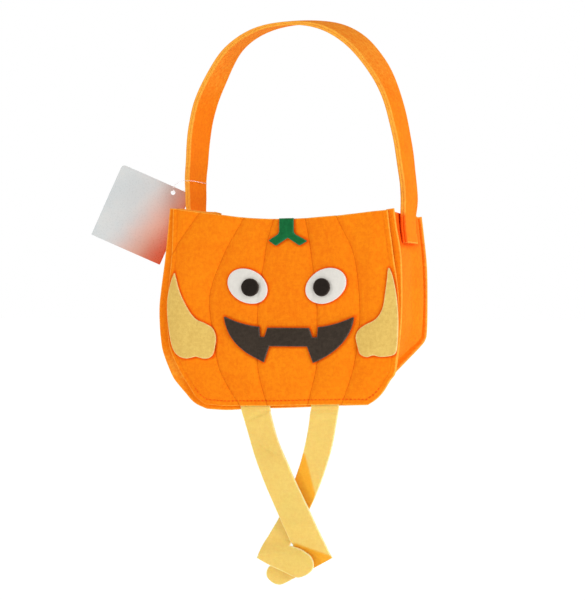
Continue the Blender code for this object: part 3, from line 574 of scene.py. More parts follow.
def felt_finish(name, colour, cut_colour, mottle, vary=(1.0, 1.0, 1.0), sewn=False, shade_reach=0.0,
                shade_colour=(0.90, 0.078, 0.002), soft_light=0.0):
    """Needle felt: matted short fibres, faint clouds of colour, and a paler cut edge, partly a painted
    highlight.

    sewn adds painted shade and a fine dent along the front's rib grooves and its seam line. shade_reach is how
    far the painted shade of a laid piece reaches.
    """
    material, shader, where = new_material(name, {
        "Roughness": 0.95, "Specular IOR Level": 0.05, "Sheen Weight": 0.01, "Sheen Roughness": 0.45,
        "Sheen Tint": (*[min(1.0, c * 0.6 + 0.4) for c in colour], 1.0), "Subsurface Weight": soft_light,
        "Subsurface Radius": (1.0, 0.35, 0.10), "Subsurface Scale": 0.003})
    clouds = textured(where, Scale=38.0, Detail=3.0, Roughness=0.55)
    clumps = textured(where, Scale=430.0, Detail=4.0, Roughness=0.68)
    matted = largest(*(textured(turned(where, turn, stretch), Scale=scale, Detail=3.0, Roughness=0.6,
                                Distortion=0.6) for turn, scale, stretch in FIBRE_WAYS))
    mix = plus(times(ramp(clouds, 0.3, 0.7), 0.2), times(ramp(clumps, 0.32, 0.68), 0.45))
    mix = plus(mix, times(ramp(matted, 0.42, 0.75), 0.35))
    cast = mixed(mix, *(tuple(1 + turn * mottle * v for v in vary) for turn in (-2.4, 2.4)))
    # The cut edge takes the paler cut colour: partly the paler look of cut fibres, partly a painted highlight
    # where edges catch the light
    ragged = plus(stored_value(where, "cut_edge"), times(plus(clumps, -0.5), 0.5))
    tint = mixed(ramp(ragged, 0.25, 0.85, 0.0, 0.85), colour, cut_colour)
    height = plus(times(matted, FIBRE_DEPTH), times(clumps, FIBRE_DEPTH * 1.6))
    if sewn:
        # Painted shade along the rib grooves and the pressed seam line, with a fine dent in the relief
        fold = ramp(maths("ABSOLUTE", stored_value(where, "rib_distance")), 0.06, 0.52, 1.0, 0.0)
        from_seam = plus(stored_value(where, "seam_distance"), -STITCH_INSET)
        pressed = ramp(maths("ABSOLUTE", from_seam), 0.0, 0.9, 1.0, 0.0)
        for line, strength, dent in ((fold, 0.45, 0.00035), (pressed, 0.22, 0.0002)):
            tint = mixed(times(line, strength), tint, SEWN_SHADE)
            height = plus(height, times(line, -dent))
    # Painted shadow beside what lies on or near the felt, fading out over shade_reach millimetres
    if shade_reach:
        near = stored_value(where, "painted_shade_distance")
        tint = mixed(ramp(near, 0.0, shade_reach, 0.80, 0.0), tint, shade_colour)
    dress(shader, mixed(1.0, tint, cast, "MULTIPLY"), height, 0.8, 1.0)
    return material


def card_finish():
    """Smooth coated card, bare of print, with a faint tooth, softly frayed, fibrous edges, and a painted
    reflection of the orange bag, salmon to orange-red towards its lower right.
    """
    material, shader, where = new_material("coated_card", {"Specular IOR Level": 0.6})
    tooth = textured(where, Scale=900.0, Detail=4.0, Roughness=0.6)
    clouds = textured(where, Scale=60.0, Detail=2.0, Roughness=0.5)
    # Painted reflection of the orange bag: salmon, then orange-red, towards the card's lower right
    orange_reflection = plus(stored_value(where, "across_card"), times(stored_value(where, "down_card"), 0.36))
    orange_reflection = plus(orange_reflection, times(plus(clouds, -0.5), 0.12))
    tint = mixed(ramp(clouds, 0.3, 0.7), (0.62, 0.665, 0.67), (0.67, 0.70, 0.69))
    tint = mixed(ramp(orange_reflection, 0.50, 1.12), tint, (0.76, 0.40, 0.29))
    tint = mixed(ramp(orange_reflection, 0.95, 1.34), tint, (0.80, 0.12, 0.022))
    tint = mixed(ramp(stored_value(where, "cut_edge"), 0.3, 0.9, 0.0, 0.8), tint, (0.70, 0.68, 0.64))
    link(ramp(tooth, 0.3, 0.7, 0.24, 0.36), shader.inputs["Roughness"])
    dress(shader, tint, tooth, 0.25, 0.00005)
    return material


def clear_plastic_finish():
    """Clear moulded plastic with faint drawing lines."""
    material, shader, where = new_material("clear_loop_plastic", {
        "Base Color": WHITE, "Transmission Weight": 0.82, "IOR": 1.1, "Specular IOR Level": 0.3})
    lines = textured(where, Scale=700.0, Detail=3.0)
    link(ramp(lines, 0.3, 0.7, 0.12, 0.3), shader.inputs["Roughness"])
    return material


def thread_finish(name, colour):
    """Spun sewing thread, twisted along its length."""
    material, shader, where = new_material(name, {"Roughness": 0.9, "Specular IOR Level": 0.1})
    spun = textured(turned(where, (0.4, 0.6, 0.5)), "Wave", Scale=1300.0, Distortion=1.5)
    shade = node(where.id_data, "ShaderNodeVectorMath", operation="SCALE")
    shade.inputs[0].default_value = colour
    link(ramp(spun, 0.1, 0.9, 0.78, 1.12), shade.inputs["Scale"])
    dress(shader, shade.outputs["Vector"], spun, 0.5, 0.0001)
    return material


# Felt colours, each with a paler cut colour, partly a painted highlight on cut edges
ORANGE = (0.945, 0.231, 0.0055)
ORANGE_CUT = (1.0, 0.45, 0.055)
WARM = (0.26, 1.0, 1.1)
# Front felt, with painted shade in its rib grooves, along its seam line and around the face's pieces
front_felt = felt_finish("orange_front_felt", ORANGE, ORANGE_CUT, 0.11, WARM, sewn=True, shade_reach=2.4)
# Orange felt that takes painted shade, about the strap's tails and beside the front panel's right edge
shaded_felt = felt_finish("orange_shaded_felt", ORANGE, ORANGE_CUT, 0.11, WARM, shade_reach=TAIL_SHADE_REACH,
                          shade_colour=(1.0, 0.115, 0.003))
# Beige felt of the legs, with an orange painted shadow where one leg lies over the other
leg_felt = felt_finish("pale_beige_felt", (0.865, 0.615, 0.160), (1.0, 0.88, 0.46), 0.045, (0.4, 0.8, 1.3),
                       shade_reach=2.0, shade_colour=(0.93, 0.39, 0.002), soft_light=0.25)
hand_felt = felt_finish("dusty_beige_felt", (0.765, 0.515, 0.132), (0.88, 0.69, 0.29), 0.075, (0.6, 0.9, 1.2))
green_felt = felt_finish("green_felt", (0.010, 0.138, 0.040), (0.05, 0.24, 0.11), 0.10)
black_felt = felt_finish("soft_black_felt", (0.047, 0.035, 0.026), (0.13, 0.10, 0.08), 0.12)
pupil_felt = felt_finish("deep_black_felt", (0.021, 0.016, 0.013), (0.08, 0.06, 0.05), 0.12)
white_felt = felt_finish("white_felt", (0.755, 0.725, 0.665), (0.90, 0.88, 0.84), 0.025)
orange_thread = thread_finish("orange_thread", (1.0, 0.115, 0.004))
card = card_finish()
clear_plastic = clear_plastic_finish()


def sewn_edge(right, base, left):
    """The sewn edge of a panel, from the right end of its rim round its base to the left end."""
    return np.vstack([smooth_line(right, 100), smooth_line(base, 80)[1:], smooth_line(left, 100)[1:]])


FRONT_EDGE = sewn_edge(FRONT_RIGHT_SIDE, FRONT_BASE, FRONT_LEFT_SIDE)
PANEL_EDGE = sewn_edge(PANEL_RIGHT_SIDE, FRONT_BASE, FRONT_LEFT_SIDE)
BACK_EDGE = sewn_edge(BACK_RIGHT_SIDE, BACK_BASE, BACK_LEFT_SIDE)
RIB_RUNS = [spline_run(rib, 10)[::-1] for rib in RIBS]


def rib_distance(x, z):
    """Signed distance from the nearest rib, and that rib's lobe width on this side."""
    places = np.stack([np.interp(z, run[:, 1], run[:, 0]) for run in RIB_RUNS])
    places = np.concatenate([places[:1] - LOBE_PAST_END, places, places[-1:] + LOBE_PAST_END])
    signed = np.full(np.shape(x), 1e3)
    width = np.full(np.shape(x), LOBE_PAST_END)
    for before, place, after in zip(places, places[1:], places[2:]):
        away = x - place
        closer = np.abs(away) < np.abs(signed)
        signed = np.where(closer, away, signed)
        width = np.where(closer, np.where(away > 0, after - place, place - before), width)
    return signed, width


def creases(x, z):
    """The height of the soft folds in the front."""
    total = np.zeros(np.shape(x))
    for fold_x, fold_z, wide, tall, height, lean in FOLDS:
        sideways = (x - fold_x - lean * (z - fold_z)) / wide
        total += height * np.exp(-sideways ** 2 - ((z - fold_z) / tall) ** 2)
    return total


def front_relief(x, z, groove=1.0):
    """How far the front's face swells forward of its seam. groove below 1 fills the valleys at the ribs."""
    x, z = np.broadcast_arrays(np.asarray(x, float), np.asarray(z, float))
    points = np.stack([x, z], -1)
    edge = edge_distance(points, PANEL_EDGE[::4])
    signed, width = rib_distance(x, z)
    share = np.clip(np.abs(signed) / width, 0, 0.5)
    swell = 1.5 * np.sin(math.pi * share) ** 0.8
    valley = 0.75 * np.exp(-(signed / 1.6) ** 2) * groove
    pinched = 1 - np.exp(-(np.maximum(edge - 2.6, 0) / 6.0) ** 1.4)
    return (0.4 + swell) * pinched - valley * np.clip(edge / 4.0, 0.25, 1) + creases(x, z) * pinched


def panel_grid(rim, sides, base, spacing):
    """A grid of (x, z) that fills a panel from its base up to its rim."""
    right, left = sides
    width, height = 165.0, 132.0
    across = steps_with_edges(width, spacing)
    up = steps_with_edges(height, spacing)

    def at(points, shares):
        line = spline_run(points, 16)
        length = along(line)
        return np.column_stack([np.interp(shares * length[-1], length, line[:, i]) for i in range(2)])

    top = at(rim, across)
    bottom = at(base[::-1], across)
    left_side = at(left, up)
    right_side = at(right[::-1], up)
    u, v = np.meshgrid(across, up)
    u, v = u[..., None], v[..., None]
    between_sides = left_side[:, None] * (1 - u) + right_side[:, None] * u
    between_ends = bottom[None] * (1 - v) + top[None] * v
    corners = (bottom[0] * (1 - u) + bottom[-1] * u) * (1 - v) + (top[0] * (1 - u) + top[-1] * u) * v
    return between_sides + between_ends - corners


def make_front():
    flat = panel_grid(RIM_LINE, (PANEL_RIGHT_SIDE, FRONT_LEFT_SIDE), FRONT_BASE, 1.0)[::-1]
    x, z = flat[..., 0], flat[..., 1]
    depth = FELT / 2 - front_relief(x, z) - 0.25 * ripple(np.stack([x, 0 * x, z], -1), 14.0, 3.3)
    # Painted contact shadow around the face's pieces, fading with the distance from their outlines, on the
    # outer face only
    laid = [STEM, mouth_outline(), *hand_outlines().values(), eye_outline(-1), eye_outline(1)]
    near = np.minimum.reduce([edge_distance(flat, np.array([*outline, outline[0]])) for outline in laid])
    values = {"rib_distance": rib_distance(x, z)[0], "seam_distance": edge_distance(flat, PANEL_EDGE[::4])}
    middle = np.stack([x, depth, z], -1)
    return felt_from_grid("front_panel_felt", middle, FELT, front_felt, values, outer_shade=near)


def make_back():
    flat = panel_grid(BACK_RIM, (BACK_RIGHT_SIDE, BACK_LEFT_SIDE), BACK_BASE, 1.5)[::-1]
    x, z = flat[..., 0], flat[..., 1]
    edge = edge_distance(flat, BACK_EDGE[::4])
    swell = 1.8 * (1 - np.exp(-(np.maximum(edge - 2.6, 0) / 14.0) ** 1.5))
    uneven = 0.5 * ripple(np.stack([x, 0 * x, z], -1), 30.0, 7.7) * np.clip(edge / 10, 0, 1)
    middle = np.stack([x, DEPTH - FELT / 2 + swell + uneven, z], -1)
    return felt_from_grid("back_panel_felt", middle, FELT, shaded_felt, outer_shade=CLEAR)


def edge_normals(line):
    """Unit normals of a sewn edge, pointing out of the bag."""
    step = unit(np.gradient(line, axis=0))
    return np.column_stack([-step[:, 1], step[:, 0]])


def flange_shows(line):
    """How far the raw edge stands past the front panel, along the sewn edge."""
    length = along(line)
    marks = sorted((length[np.argmin(np.hypot(*(line - (x, z)).T))], shows) for x, z, shows in FLANGE_SHOWS)
    return np.interp(length, *zip(*marks))


def leg_room(x, z):
    """1 where a leg's top is sewn in between the front panel and the gusset's edge, else 0."""
    room = np.zeros(np.shape(x))
    for leg in LEGS.values():
        reach = leg["width"] / 2 + 1.5 + LEG_ROOM_EASE
        room = np.maximum(room, smooth_step((reach - np.abs(x - leg["start_x"])) / LEG_ROOM_EASE))
    return room * smooth_step((9 - z) / 4)


def gusset_section():
    """The gusset's lines from its front edge to its back one, as (depth, kind of place, how far along it)."""
    half = [(FLANGE_Y, "tip", part) for part in EDGE_STEPS]
    half += [(FLANGE_Y, "flange", share) for share in (0.3, 0.5, 0.7, 0.85)]
    for angle in np.radians((0, 25, 45, 65, 90)):
        y = FLANGE_Y + FLANGE_TURN - FLANGE_TURN * math.cos(angle)
        half.append((y, "bend", FLANGE_TURN - FLANGE_TURN * math.sin(angle)))
    web = np.linspace(FLANGE_Y + FLANGE_TURN, DEPTH - FLANGE_Y - FLANGE_TURN, 42)[1:-1]
    back_half = [(DEPTH - y, kind, along_it) for y, kind, along_it in half[::-1]]
    return half + [(y, "web", 0.0) for y in web] + back_half


def gusset_lines():
    """Middle surface of the strip round sides and base, with its edges turned out along both panels."""
    normals = edge_normals(FRONT_EDGE), edge_normals(BACK_EDGE)
    shows = flange_shows(FRONT_EDGE)
    web = -SEAM_ALLOWANCE - FELT / 2
    lines = []
    for y, kind, value in gusset_section():
        share = y / DEPTH
        edge = FRONT_EDGE * (1 - share) + BACK_EDGE * share
        normal = unit(normals[0] * (1 - share) + normals[1] * share)
        tip = shows if share < 0.5 else BACK_FLANGE_SHOWS
        if kind == "tip":
            out = tip - value
        elif kind == "flange":
            out = (tip - EDGE_STEPS[-1]) * (1 - value) + (web + FLANGE_TURN) * value
        else:
            out = web + value
        x, z = (edge + normal * np.reshape(out, (-1, 1))).T
        to_back = DEPTH - FLANGE_Y - y
        inner = smooth_step((y - FLANGE_Y) / 8) * smooth_step(to_back / 8)
        uneven = inner * 0.8 * ripple(np.column_stack([x, np.full(len(x), y), z]), 28.0, 1.7)
        dent = 2.4 * bump_at(y, 17, 7.5) * bump_at(z, 118, 9)
        fuller = smooth_step((y - 45) / 22) * smooth_step(to_back / 5) * smooth_step((z - 30) / 20)
        sag = uneven - dent + 3.2 * fuller
        room = leg_room(x, z) * LEG_ROOM_DEPTH * (1 - inner) * (share < 0.5)
        lines.append(np.column_stack([x + normal[:, 0] * sag, y + room, z + normal[:, 1] * sag]))
    return lines


def make_gusset():
    """The gusset, with painted light on its lower left flange, and painted shade about the tails and beside
    the panel's right edge.
    """
    length = along(FRONT_EDGE)
    at = np.concatenate([EDGE_STEPS, np.linspace(1.4, length[-1] - 1.4, 330), length[-1] - EDGE_STEPS[::-1]])
    middle = np.stack([np.column_stack([np.interp(at, length, places) for places in line.T])
                       for line in gusset_lines()], 1)
    x, y, z = np.moveaxis(middle, -1, 0)
    # Painted light on the lower left flange, which takes on the paler cut-edge colour
    face_paleness = 0.50 * smooth_step((-58 - x) / 6) * bump_at(z, 26, 17) * smooth_step((5 - y) / 2)
    # Painted shade about the strap's sewn tails, and on the flange beside the front panel's right edge
    beside_tail = np.maximum(np.abs(y - HINGE_Y) - STRAP_WIDTH / 2, 0.0)
    below_tail = np.maximum(TAIL_END_Z - z, 0.0)
    near = np.hypot(beside_tail * 0.5, below_tail * 1.4) + 20.0 * smooth_step((7.5 - y) / 3)
    near = np.where((y < 3.0) & (x > 60.0), 1.5, near)
    near[:, :3] = CLEAR
    return felt_from_grid("gusset_felt", middle, FELT, shaded_felt, pale=np.where(y < 20.0, 1.3, 2.4),
                          face_paleness=face_paleness, outer_shade=near)


def web_outer_x(side, y, z):
    """How far out the gusset's outer face stands at one side of the bag."""
    share = y / DEPTH
    reach = []
    for edge in (FRONT_EDGE, BACK_EDGE):
        half = edge[edge[:, 0] * side > 20]
        order = np.argsort(half[:, 1])
        reach.append(np.interp(z, half[order, 1], np.abs(half[order, 0])))
    return reach[0] * (1 - share) + reach[1] * share - SEAM_ALLOWANCE


def bend_through(start, pull, end, steps):
    t = (np.arange(1, steps + 1) / steps)[:, None]
    start, pull, end = (np.array(p, float) for p in (start, pull, end))
    return [tuple(p) for p in (1 - t) ** 2 * start + 2 * t * (1 - t) * pull + t ** 2 * end]


def mouth_outline():
    half = [(14.5, 53.5), (16.8, 47.3), (20.2, 47.3), (20.7, 54.1)]
    half += bend_through((20.7, 54.1), (33.2, 55.2), (45.7, 61.1), 14)
    half += bend_through((45.7, 61.1), (43.1, 40.6), (17.3, 30.5), 26)
    half += [(13.4, 41.2)]
    centre = FACE_X + 1.2
    return [(centre + x, z) for x, z in half] + [(centre - x, z) for x, z in reversed(half)]


def oval(centre, half_length, half_height, tilt, count=72):
    angle = np.linspace(0, 2 * math.pi, count, endpoint=False)
    u, v = half_length * np.cos(angle), half_height * np.sin(angle)
    return np.column_stack([centre[0] + u * math.cos(tilt) - v * math.sin(tilt),
                            centre[1] + u * math.sin(tilt) + v * math.cos(tilt)])


def hand_outlines():
    shares = np.vstack([spline_run(HAND_OUTER, 8)[:-1], spline_run(HAND_INNER, 8)[:-1]])
    return {"left": LEFT_HAND_PLACE + shares * LEFT_HAND_SIZE, "right": spline_run(RIGHT_HAND, 5)[:-1]}


def eye_outline(side):
    return oval((FACE_X + side * 27.6, 81.3), 14.7, 11.0, side * math.radians(25.8))


def on_panel(x, z):
    """Depth of the face of a piece that lies on the front panel."""
    return -front_relief(x, z, 0.05) - PIECE_GAP - APPLIQUE


def on_eye(x, z):
    """Depth of the face of a pupil, which lies on an eye white."""
    return on_panel(x, z) - PUPIL_GAP - APPLIQUE


def make_face():
    made = {"stem": cut_from_felt("stem_felt", STEM, on_panel, green_felt),
            "mouth": cut_from_felt("mouth_felt", mouth_outline(), on_panel, black_felt)}
    for name, side in (("left", -1), ("right", 1)):
        pupil = oval((FACE_X + side * 25.2, 80.4), 6.0, 6.0, 0.0)
        white = cut_from_felt(name + "_eye_white_felt", eye_outline(side), on_panel, white_felt)
        made[name + "_eye_white"] = white
        made[name + "_pupil"] = cut_from_felt(name + "_pupil_felt", pupil, on_eye, pupil_felt, 1.0, 0.35)
    for name, outline in hand_outlines().items():
        made[name + "_hand"] = cut_from_felt(name + "_hand_felt", outline, on_panel, hand_felt, 1.3, 0.35)
    return made


def strap_stations():
    """Along the strap from its sewn end up to the middle of the crown: place, outward normal, roll."""
    power = 2 / ARCH_FULLNESS
    rise = CROWN_Z - ARCH_START_Z
    angle = math.pi / 2 * (np.linspace(0, 1, ARCH_STATIONS) ** 1.15)
    x = STRAP_MIDDLE_X * np.cos(angle) ** power
    z = ARCH_START_Z + rise * np.sin(angle) ** power
    x[-1] = 0.0
    out_x, out_z = np.cos(angle) ** (2 - power) / STRAP_MIDDLE_X, np.sin(angle) ** (2 - power) / rise
    return x, z, unit(np.column_stack([out_x, out_z])), math.radians(CROWN_ROLL_DEG) * np.sin(angle) ** 2


def eased(grid, across):
    """Sideways shift at each point of the strap, from its height, its side and its place across the width."""
    back_share = (across / STRAP_WIDTH + 0.5)[None, :]
    x, z = grid[..., 0], grid[..., 2]
    right_share = smooth_step((x + 32.0) / 64.0)
    shift = 0.0
    for side, share in ((-1, 1 - right_share), (1, right_share)):
        table = np.array(STRAP_EASE[side], float)
        level = np.linspace(table[0, 0], table[-1, 0], 67)
        blur = np.exp(-(np.arange(-6, 7) / 3.0) ** 2)
        edges = []
        for column in (1, 2):
            values = np.interp(level, table[:, 0], table[:, column])
            values = np.convolve(np.pad(values, 6, mode="edge"), blur / blur.sum(), mode="valid")
            edges.append(np.interp(z, level, values))
        shift = shift + share * (edges[0] * (1 - back_share) + edges[1] * back_share)
    return shift


def pressed_thin(x):
    """How thick the strap's felt is, as a share: thinner where it folds over the crown."""
    return 1 - CROWN_PRESS * np.exp(-(x / CROWN_PRESS_SPAN) ** 2)


def tail_shares():
    """Where a tail's lines lie on the way from its end up to the arch, without those close below the arch."""
    return steps_with_edges(ARCH_START_Z - TAIL_END_Z, 1.4)[:-5]


def both_halves(left, right):
    """The two halves of the strap as one run, with the middle of the crown once."""
    return np.concatenate([left, right[-2::-1]])


def strap_half(side, offset, across):
    """One side of a layer, before it is twisted and leaned: its tail and then its half of the arch."""
    cup = STRAP_CUP * (1 - (2 * across / STRAP_WIDTH) ** 2)
    rows = []
    for level in TAIL_END_Z + tail_shares() * (ARCH_START_Z - TAIL_END_Z):
        lie = web_outer_x(side, HINGE_Y, min(level, 131.0)) + FELT + GAP / 2 + 0.15
        settle = smooth_step((level - 112.0) / 30.0)
        at = lie * (1 - settle) + STRAP_MIDDLE_X * settle + offset + cup * smooth_step((level - 120) / 30)
        rows.append(np.column_stack([side * at, across, np.full(len(across), level - HINGE_Z)]))
    back = np.array((0.0, 1.0, 0.0))
    for x, z, normal, roll in zip(*strap_stations()):
        out = np.array((side * normal[0], 0.0, normal[1]))
        line = back * math.cos(roll) + out * math.sin(roll)
        through = out * math.cos(roll) - back * math.sin(roll)
        place = np.array((side * x, 0.0, z - HINGE_Z))
        rows.append(place + line * across[:, None] + through * (offset * pressed_thin(x) + cup)[:, None])
    return np.array(rows)


def strap_middle(offset):
    """The middle surface of one layer of the strap, this far outside the line between the two layers."""
    across = steps_with_edges(STRAP_WIDTH, 1.25) * STRAP_WIDTH - STRAP_WIDTH / 2
    grid = both_halves(*(strap_half(side, offset, across) for side in (-1, 1)))
    x, y, height = np.moveaxis(grid, -1, 0)
    twist = -math.radians(TWIST_DEG) * smooth_step(height / TWIST_LENGTH)
    x, y = x * np.cos(twist) - y * np.sin(twist), x * np.sin(twist) + y * np.cos(twist)
    lean = math.radians(LEAN_DEG) * smooth_step((height + 14) / 28)
    leaned = np.stack([x, y * np.cos(lean) - height * np.sin(lean) + HINGE_Y,
                       y * np.sin(lean) + height * np.cos(lean) + HINGE_Z], -1)
    high = smooth_step((leaned[..., 2] - 165) / 60)
    leaned[..., 0] += -1.3 * high + eased(leaned, across) * smooth_step((leaned[..., 2] - 124) / 20)
    leaned[..., 1] += 0.7 * ripple(grid, 60.0, 5.1)
    return leaned


def make_handle():
    """The strap's two felt layers, paler towards the crown, with painted shade on the tails' front cut edge.
    """
    half = np.concatenate([np.ones(len(tail_shares())), pressed_thin(strap_stations()[0])])
    thickness = FELT * both_halves(half, half)[:, None]
    made = {}
    for name, side in (("inner", -1), ("outer", 1)):
        middle = strap_middle(side * (FELT - 0.03) / 2)
        step = np.diff(middle, axis=1, prepend=middle[:, :1])
        from_front = np.hypot(step[..., 0], step[..., 1]).cumsum(axis=1)
        # Painted shade on the tails' front cut edge, fading out a millimetre in from the edge and from 126 to
        # 133 mm up
        clear = np.clip((from_front - 0.3) / 1.0, 0, 1) + smooth_step((middle[..., 2] - 126.0) / 7.0)
        values = {"painted_shade_distance": TAIL_SHADE_REACH * clear}
        # Paler towards the crown, the face taking on the cut-edge colour
        crown_paleness = 0.46 * smooth_step((middle[..., 2] - 175.0) / 60.0)
        made[name] = felt_from_grid(f"strap_{name}_felt", middle, thickness, shaded_felt, values,
                                    softened=0.08, face_paleness=crown_paleness)
    return made


def leg_bow(side, drop):
    """How far forward a leg bows, at a drop below its sewn top."""
    if side < 0:
        return 2.8 * smooth_step((drop - 12) / 26) * (1 - smooth_step((drop - 74) / 11))
    return 2.4 * smooth_step((drop - 88) / 8)


def leg_outline(name):
    parts = LEG_OUTLINES[name]
    outline = np.vstack([spline_run(part, 9)[:-1] for part in parts] + [parts[-1][-1:]])
    outline[:, 0] += 0.354 * leg_bow(LEGS[name]["side"], LEG_HINGE_Z - outline[:, 1])
    return np.vstack([outline, [(outline[-1, 0], LEG_SEWN_IN), (outline[0, 0], LEG_SEWN_IN)]])


def leg_middle(side, x, z):
    """Depth of a leg's middle surface. The left leg passes in front of the right, and its foot behind."""
    z = np.asarray(z, float) - LEG_HINGE_Z
    past = np.asarray(x, float) - 9.0
    low = -z - 87.6 - (0.28 * np.maximum(past, 0.0) if side < 0 else 0.0)
    swap = smooth_step(low / (3.0 + 0.3 * np.abs(past)) + 0.5)
    passing = side * 1.15 * smooth_step(-z / 40) * (1 - 2 * swap) - leg_bow(side, -z)
    hang = 0.8 * np.sin(-z / 31.0) * smooth_step(-z / 20)
    return LEG_HINGE_Y + passing + hang + LEG_SET_BACK * smooth_step((z + 1.0) / 3.5)


def leg_face(side):
    """Depth of a leg's face, dented where the felt has creased."""
    def face(x, z):
        depth = leg_middle(side, x, z) - FELT / 2
        for dent_x, dent_z, wide, tall, deep, lean in LEG_DENTS[side]:
            up = (z - dent_z - lean * (x - dent_x)) / tall
            depth = depth + deep * np.exp(-up ** 2 - ((x - dent_x) / wide) ** 2)
        return depth

    return face


def leg_painted_shadow(side):
    """How far a point of a leg is from the painted shadow that the other leg casts on it, on its front face
    only.
    """
    def painted_shadow_distance(points):
        x, y, z = points.T
        if side < 0:
            # Painted shadow on the foot right of the ankle, which lies behind the right leg's
            far = np.maximum(z + 90.8 + 0.28 * (x - 11.4), 0) + np.maximum(11 - x, 0)
        else:
            # Painted shadow along the left edge beside the crossing, where the left leg lies over it
            end = np.interp(z, (-66.2, -57.0, -31.5), (21.6, 23.7, 16.7))
            far = np.maximum(x - end, 0) + np.maximum(-66 - z, 0) + np.maximum(z + 31, 0)
        return np.where(y > leg_middle(side, x, z), CLEAR, far)

    return painted_shadow_distance


def make_legs():
    made = {}
    for name, leg in LEGS.items():
        side = leg["side"]
        made[name] = cut_from_felt(name + "_leg_felt", leg_outline(name), leg_face(side), leg_felt, 1.4, 0.12,
                                   FELT, {"painted_shade_distance": leg_painted_shadow(side)})
        press_leg_top(made[name].data)
    return made


def press_leg_top(mesh):
    """Thins the leg to half where the seam grips it, between the front panel and the gusset's edge."""
    local = (np.array([v.co for v in mesh.vertices]) - BAG_ORIGIN) / MM
    middle = LEG_HINGE_Y + LEG_SET_BACK
    squeeze = smooth_step((local[:, 2] - LEG_HINGE_Z + 0.4) / 2.2)
    local[:, 1] = local[:, 1] * (1 - squeeze) + (middle + (local[:, 1] - middle) * 0.5) * squeeze
    mesh.vertices.foreach_set("co", to_world(local).astype(np.float32).ravel())
    mesh.update()


def make_tag():
    """A square card, faintly bowed, with a blunted corner and a punched hole."""
    left, top = -41.2, 4.0
    right, bottom = left + TAG_WIDTH, top - TAG_HEIGHT
    corners = np.array([(left, top), (right, top), (right, bottom), (left, bottom)])
    blunt = []
    for k, cut in enumerate((3.2, 0.6, 0.8, 0.6)):
        start, end = (corners[k] + unit(corners[other] - corners[k]) * cut for other in (k - 1, (k + 1) % 4))
        blunt += [tuple(start)] + bend_through(start, corners[k], end, 5)
    angle = np.linspace(0, 2 * math.pi, 40, endpoint=False)
    hole = np.column_stack([np.cos(angle), np.sin(angle)]) * TAG_HOLE_RADIUS
    steps = np.arange(1.3, TAG_HEIGHT, 2.1)
    flat = filled([dense_loop(np.array(blunt), 1.5), hole], (left + steps, bottom + steps), 0.01)
    mesh = bpy.data.meshes.new("swing_tag_card")
    flat.to_mesh(mesh)
    flat.free()
    x, _, z = np.array([v.co for v in mesh.vertices]).T
    across, down = (x - left) / TAG_WIDTH - 0.5, (top - z) / TAG_HEIGHT
    store(mesh, "across_card", across + 0.5)
    store(mesh, "down_card", down)
    bow = 4 * across ** 2 - 0.6 * np.sin(down * math.pi) - 0.5
    tilt, yaw = -math.radians(TAG_TILT_DEG), math.radians(TAG_YAW_DEG)
    level = x * math.cos(tilt) - z * math.sin(tilt)
    height = x * math.sin(tilt) + z * math.cos(tilt) - (TAG_HOLE_RADIUS - LOOP_ROOM - GAP)
    place = np.column_stack([level * math.cos(yaw) - bow * math.sin(yaw),
                             level * math.sin(yaw) + bow * math.cos(yaw), height]) + TAG_PIN
    mesh.vertices.foreach_set("co", to_world(place).astype(np.float32).ravel())
    mesh.update()
    obj = linked("swing_tag_card", mesh)
    thick = obj.modifiers.new("thickness", "SOLIDIFY")
    thick.thickness, thick.offset = TAG_THICKNESS * MM, 0.0
    soft = obj.modifiers.new("soft_edges", "BEVEL")
    soft.width, soft.segments = 0.12 * MM, 2
    soft.limit_method, soft.angle_limit = "ANGLE", math.radians(50)
    evaluated = obj.evaluated_get(bpy.context.evaluated_depsgraph_get())
    final = bpy.data.meshes.new_from_object(evaluated)
    obj.modifiers.clear()
    obj.data = final
    final.name = "swing_tag_card"
    final.materials.clear()
    final.materials.append(card)
    turn_outward(obj)
    facing = np.array((math.sin(yaw), -math.cos(yaw), 0.0))
    store(final, "cut_edge", 1 - np.clip(np.abs(np.array([v.normal for v in final.vertices]) @ facing), 0, 1))
    shade_smooth(final)
    return obj


def make_tag_loop():
    """The thin clear loop through the tag's hole and round the strap."""
    radius, rise, turns = 0.34, 6.0, 12
    yaw, lean = math.radians(TAG_YAW_DEG), math.radians(LEAN_DEG)
    reach = LOOP_ROOM + 0.7
    outer = 15.7
    inner = outer + 2 * FELT + GAP
    strap_y = HINGE_Y - TAG_PIN[1] - (TAG_PIN[2] + rise - HINGE_Z) * math.tan(lean)
    half_width = STRAP_WIDTH / 2 / math.cos(lean)
    front, back = strap_y - half_width, strap_y + half_width
    eye = np.array((5.0 * math.sin(yaw), -5.0 * math.cos(yaw)))
    flare = outer * 0.6
    route = [(0, 0), eye, (flare, front - reach / 2), (outer + FELT, front - reach),
             (inner + reach, front + reach), (inner + reach, back - reach), (outer + FELT, back + reach),
             (flare, back + reach / 2), -eye]
    x, y = spline_run(route, 16, closed=True).T
    line = np.column_stack([x, y, rise * smooth_step(x / outer)]) + TAG_PIN
    tangent = unit(np.roll(line, -1, axis=0) - np.roll(line, 1, axis=0))
    side = unit(np.cross(tangent, (0.0, 0.0, 1.0)))
    up = np.cross(side, tangent)
    angle = np.linspace(0, 2 * math.pi, turns, endpoint=False)[:, None]
    vertices = line[:, None] + (side[:, None] * np.cos(angle) + up[:, None] * np.sin(angle)) * radius
    index = np.arange(len(line) * turns).reshape(-1, turns)
    ahead = np.roll(index, -1, axis=0)
    faces = np.stack([index, np.roll(index, -1, axis=1), np.roll(ahead, -1, axis=1), ahead], -1)
    return new_piece("clear_tag_loop", vertices.reshape(-1, 3), faces.reshape(-1, 4), clear_plastic)


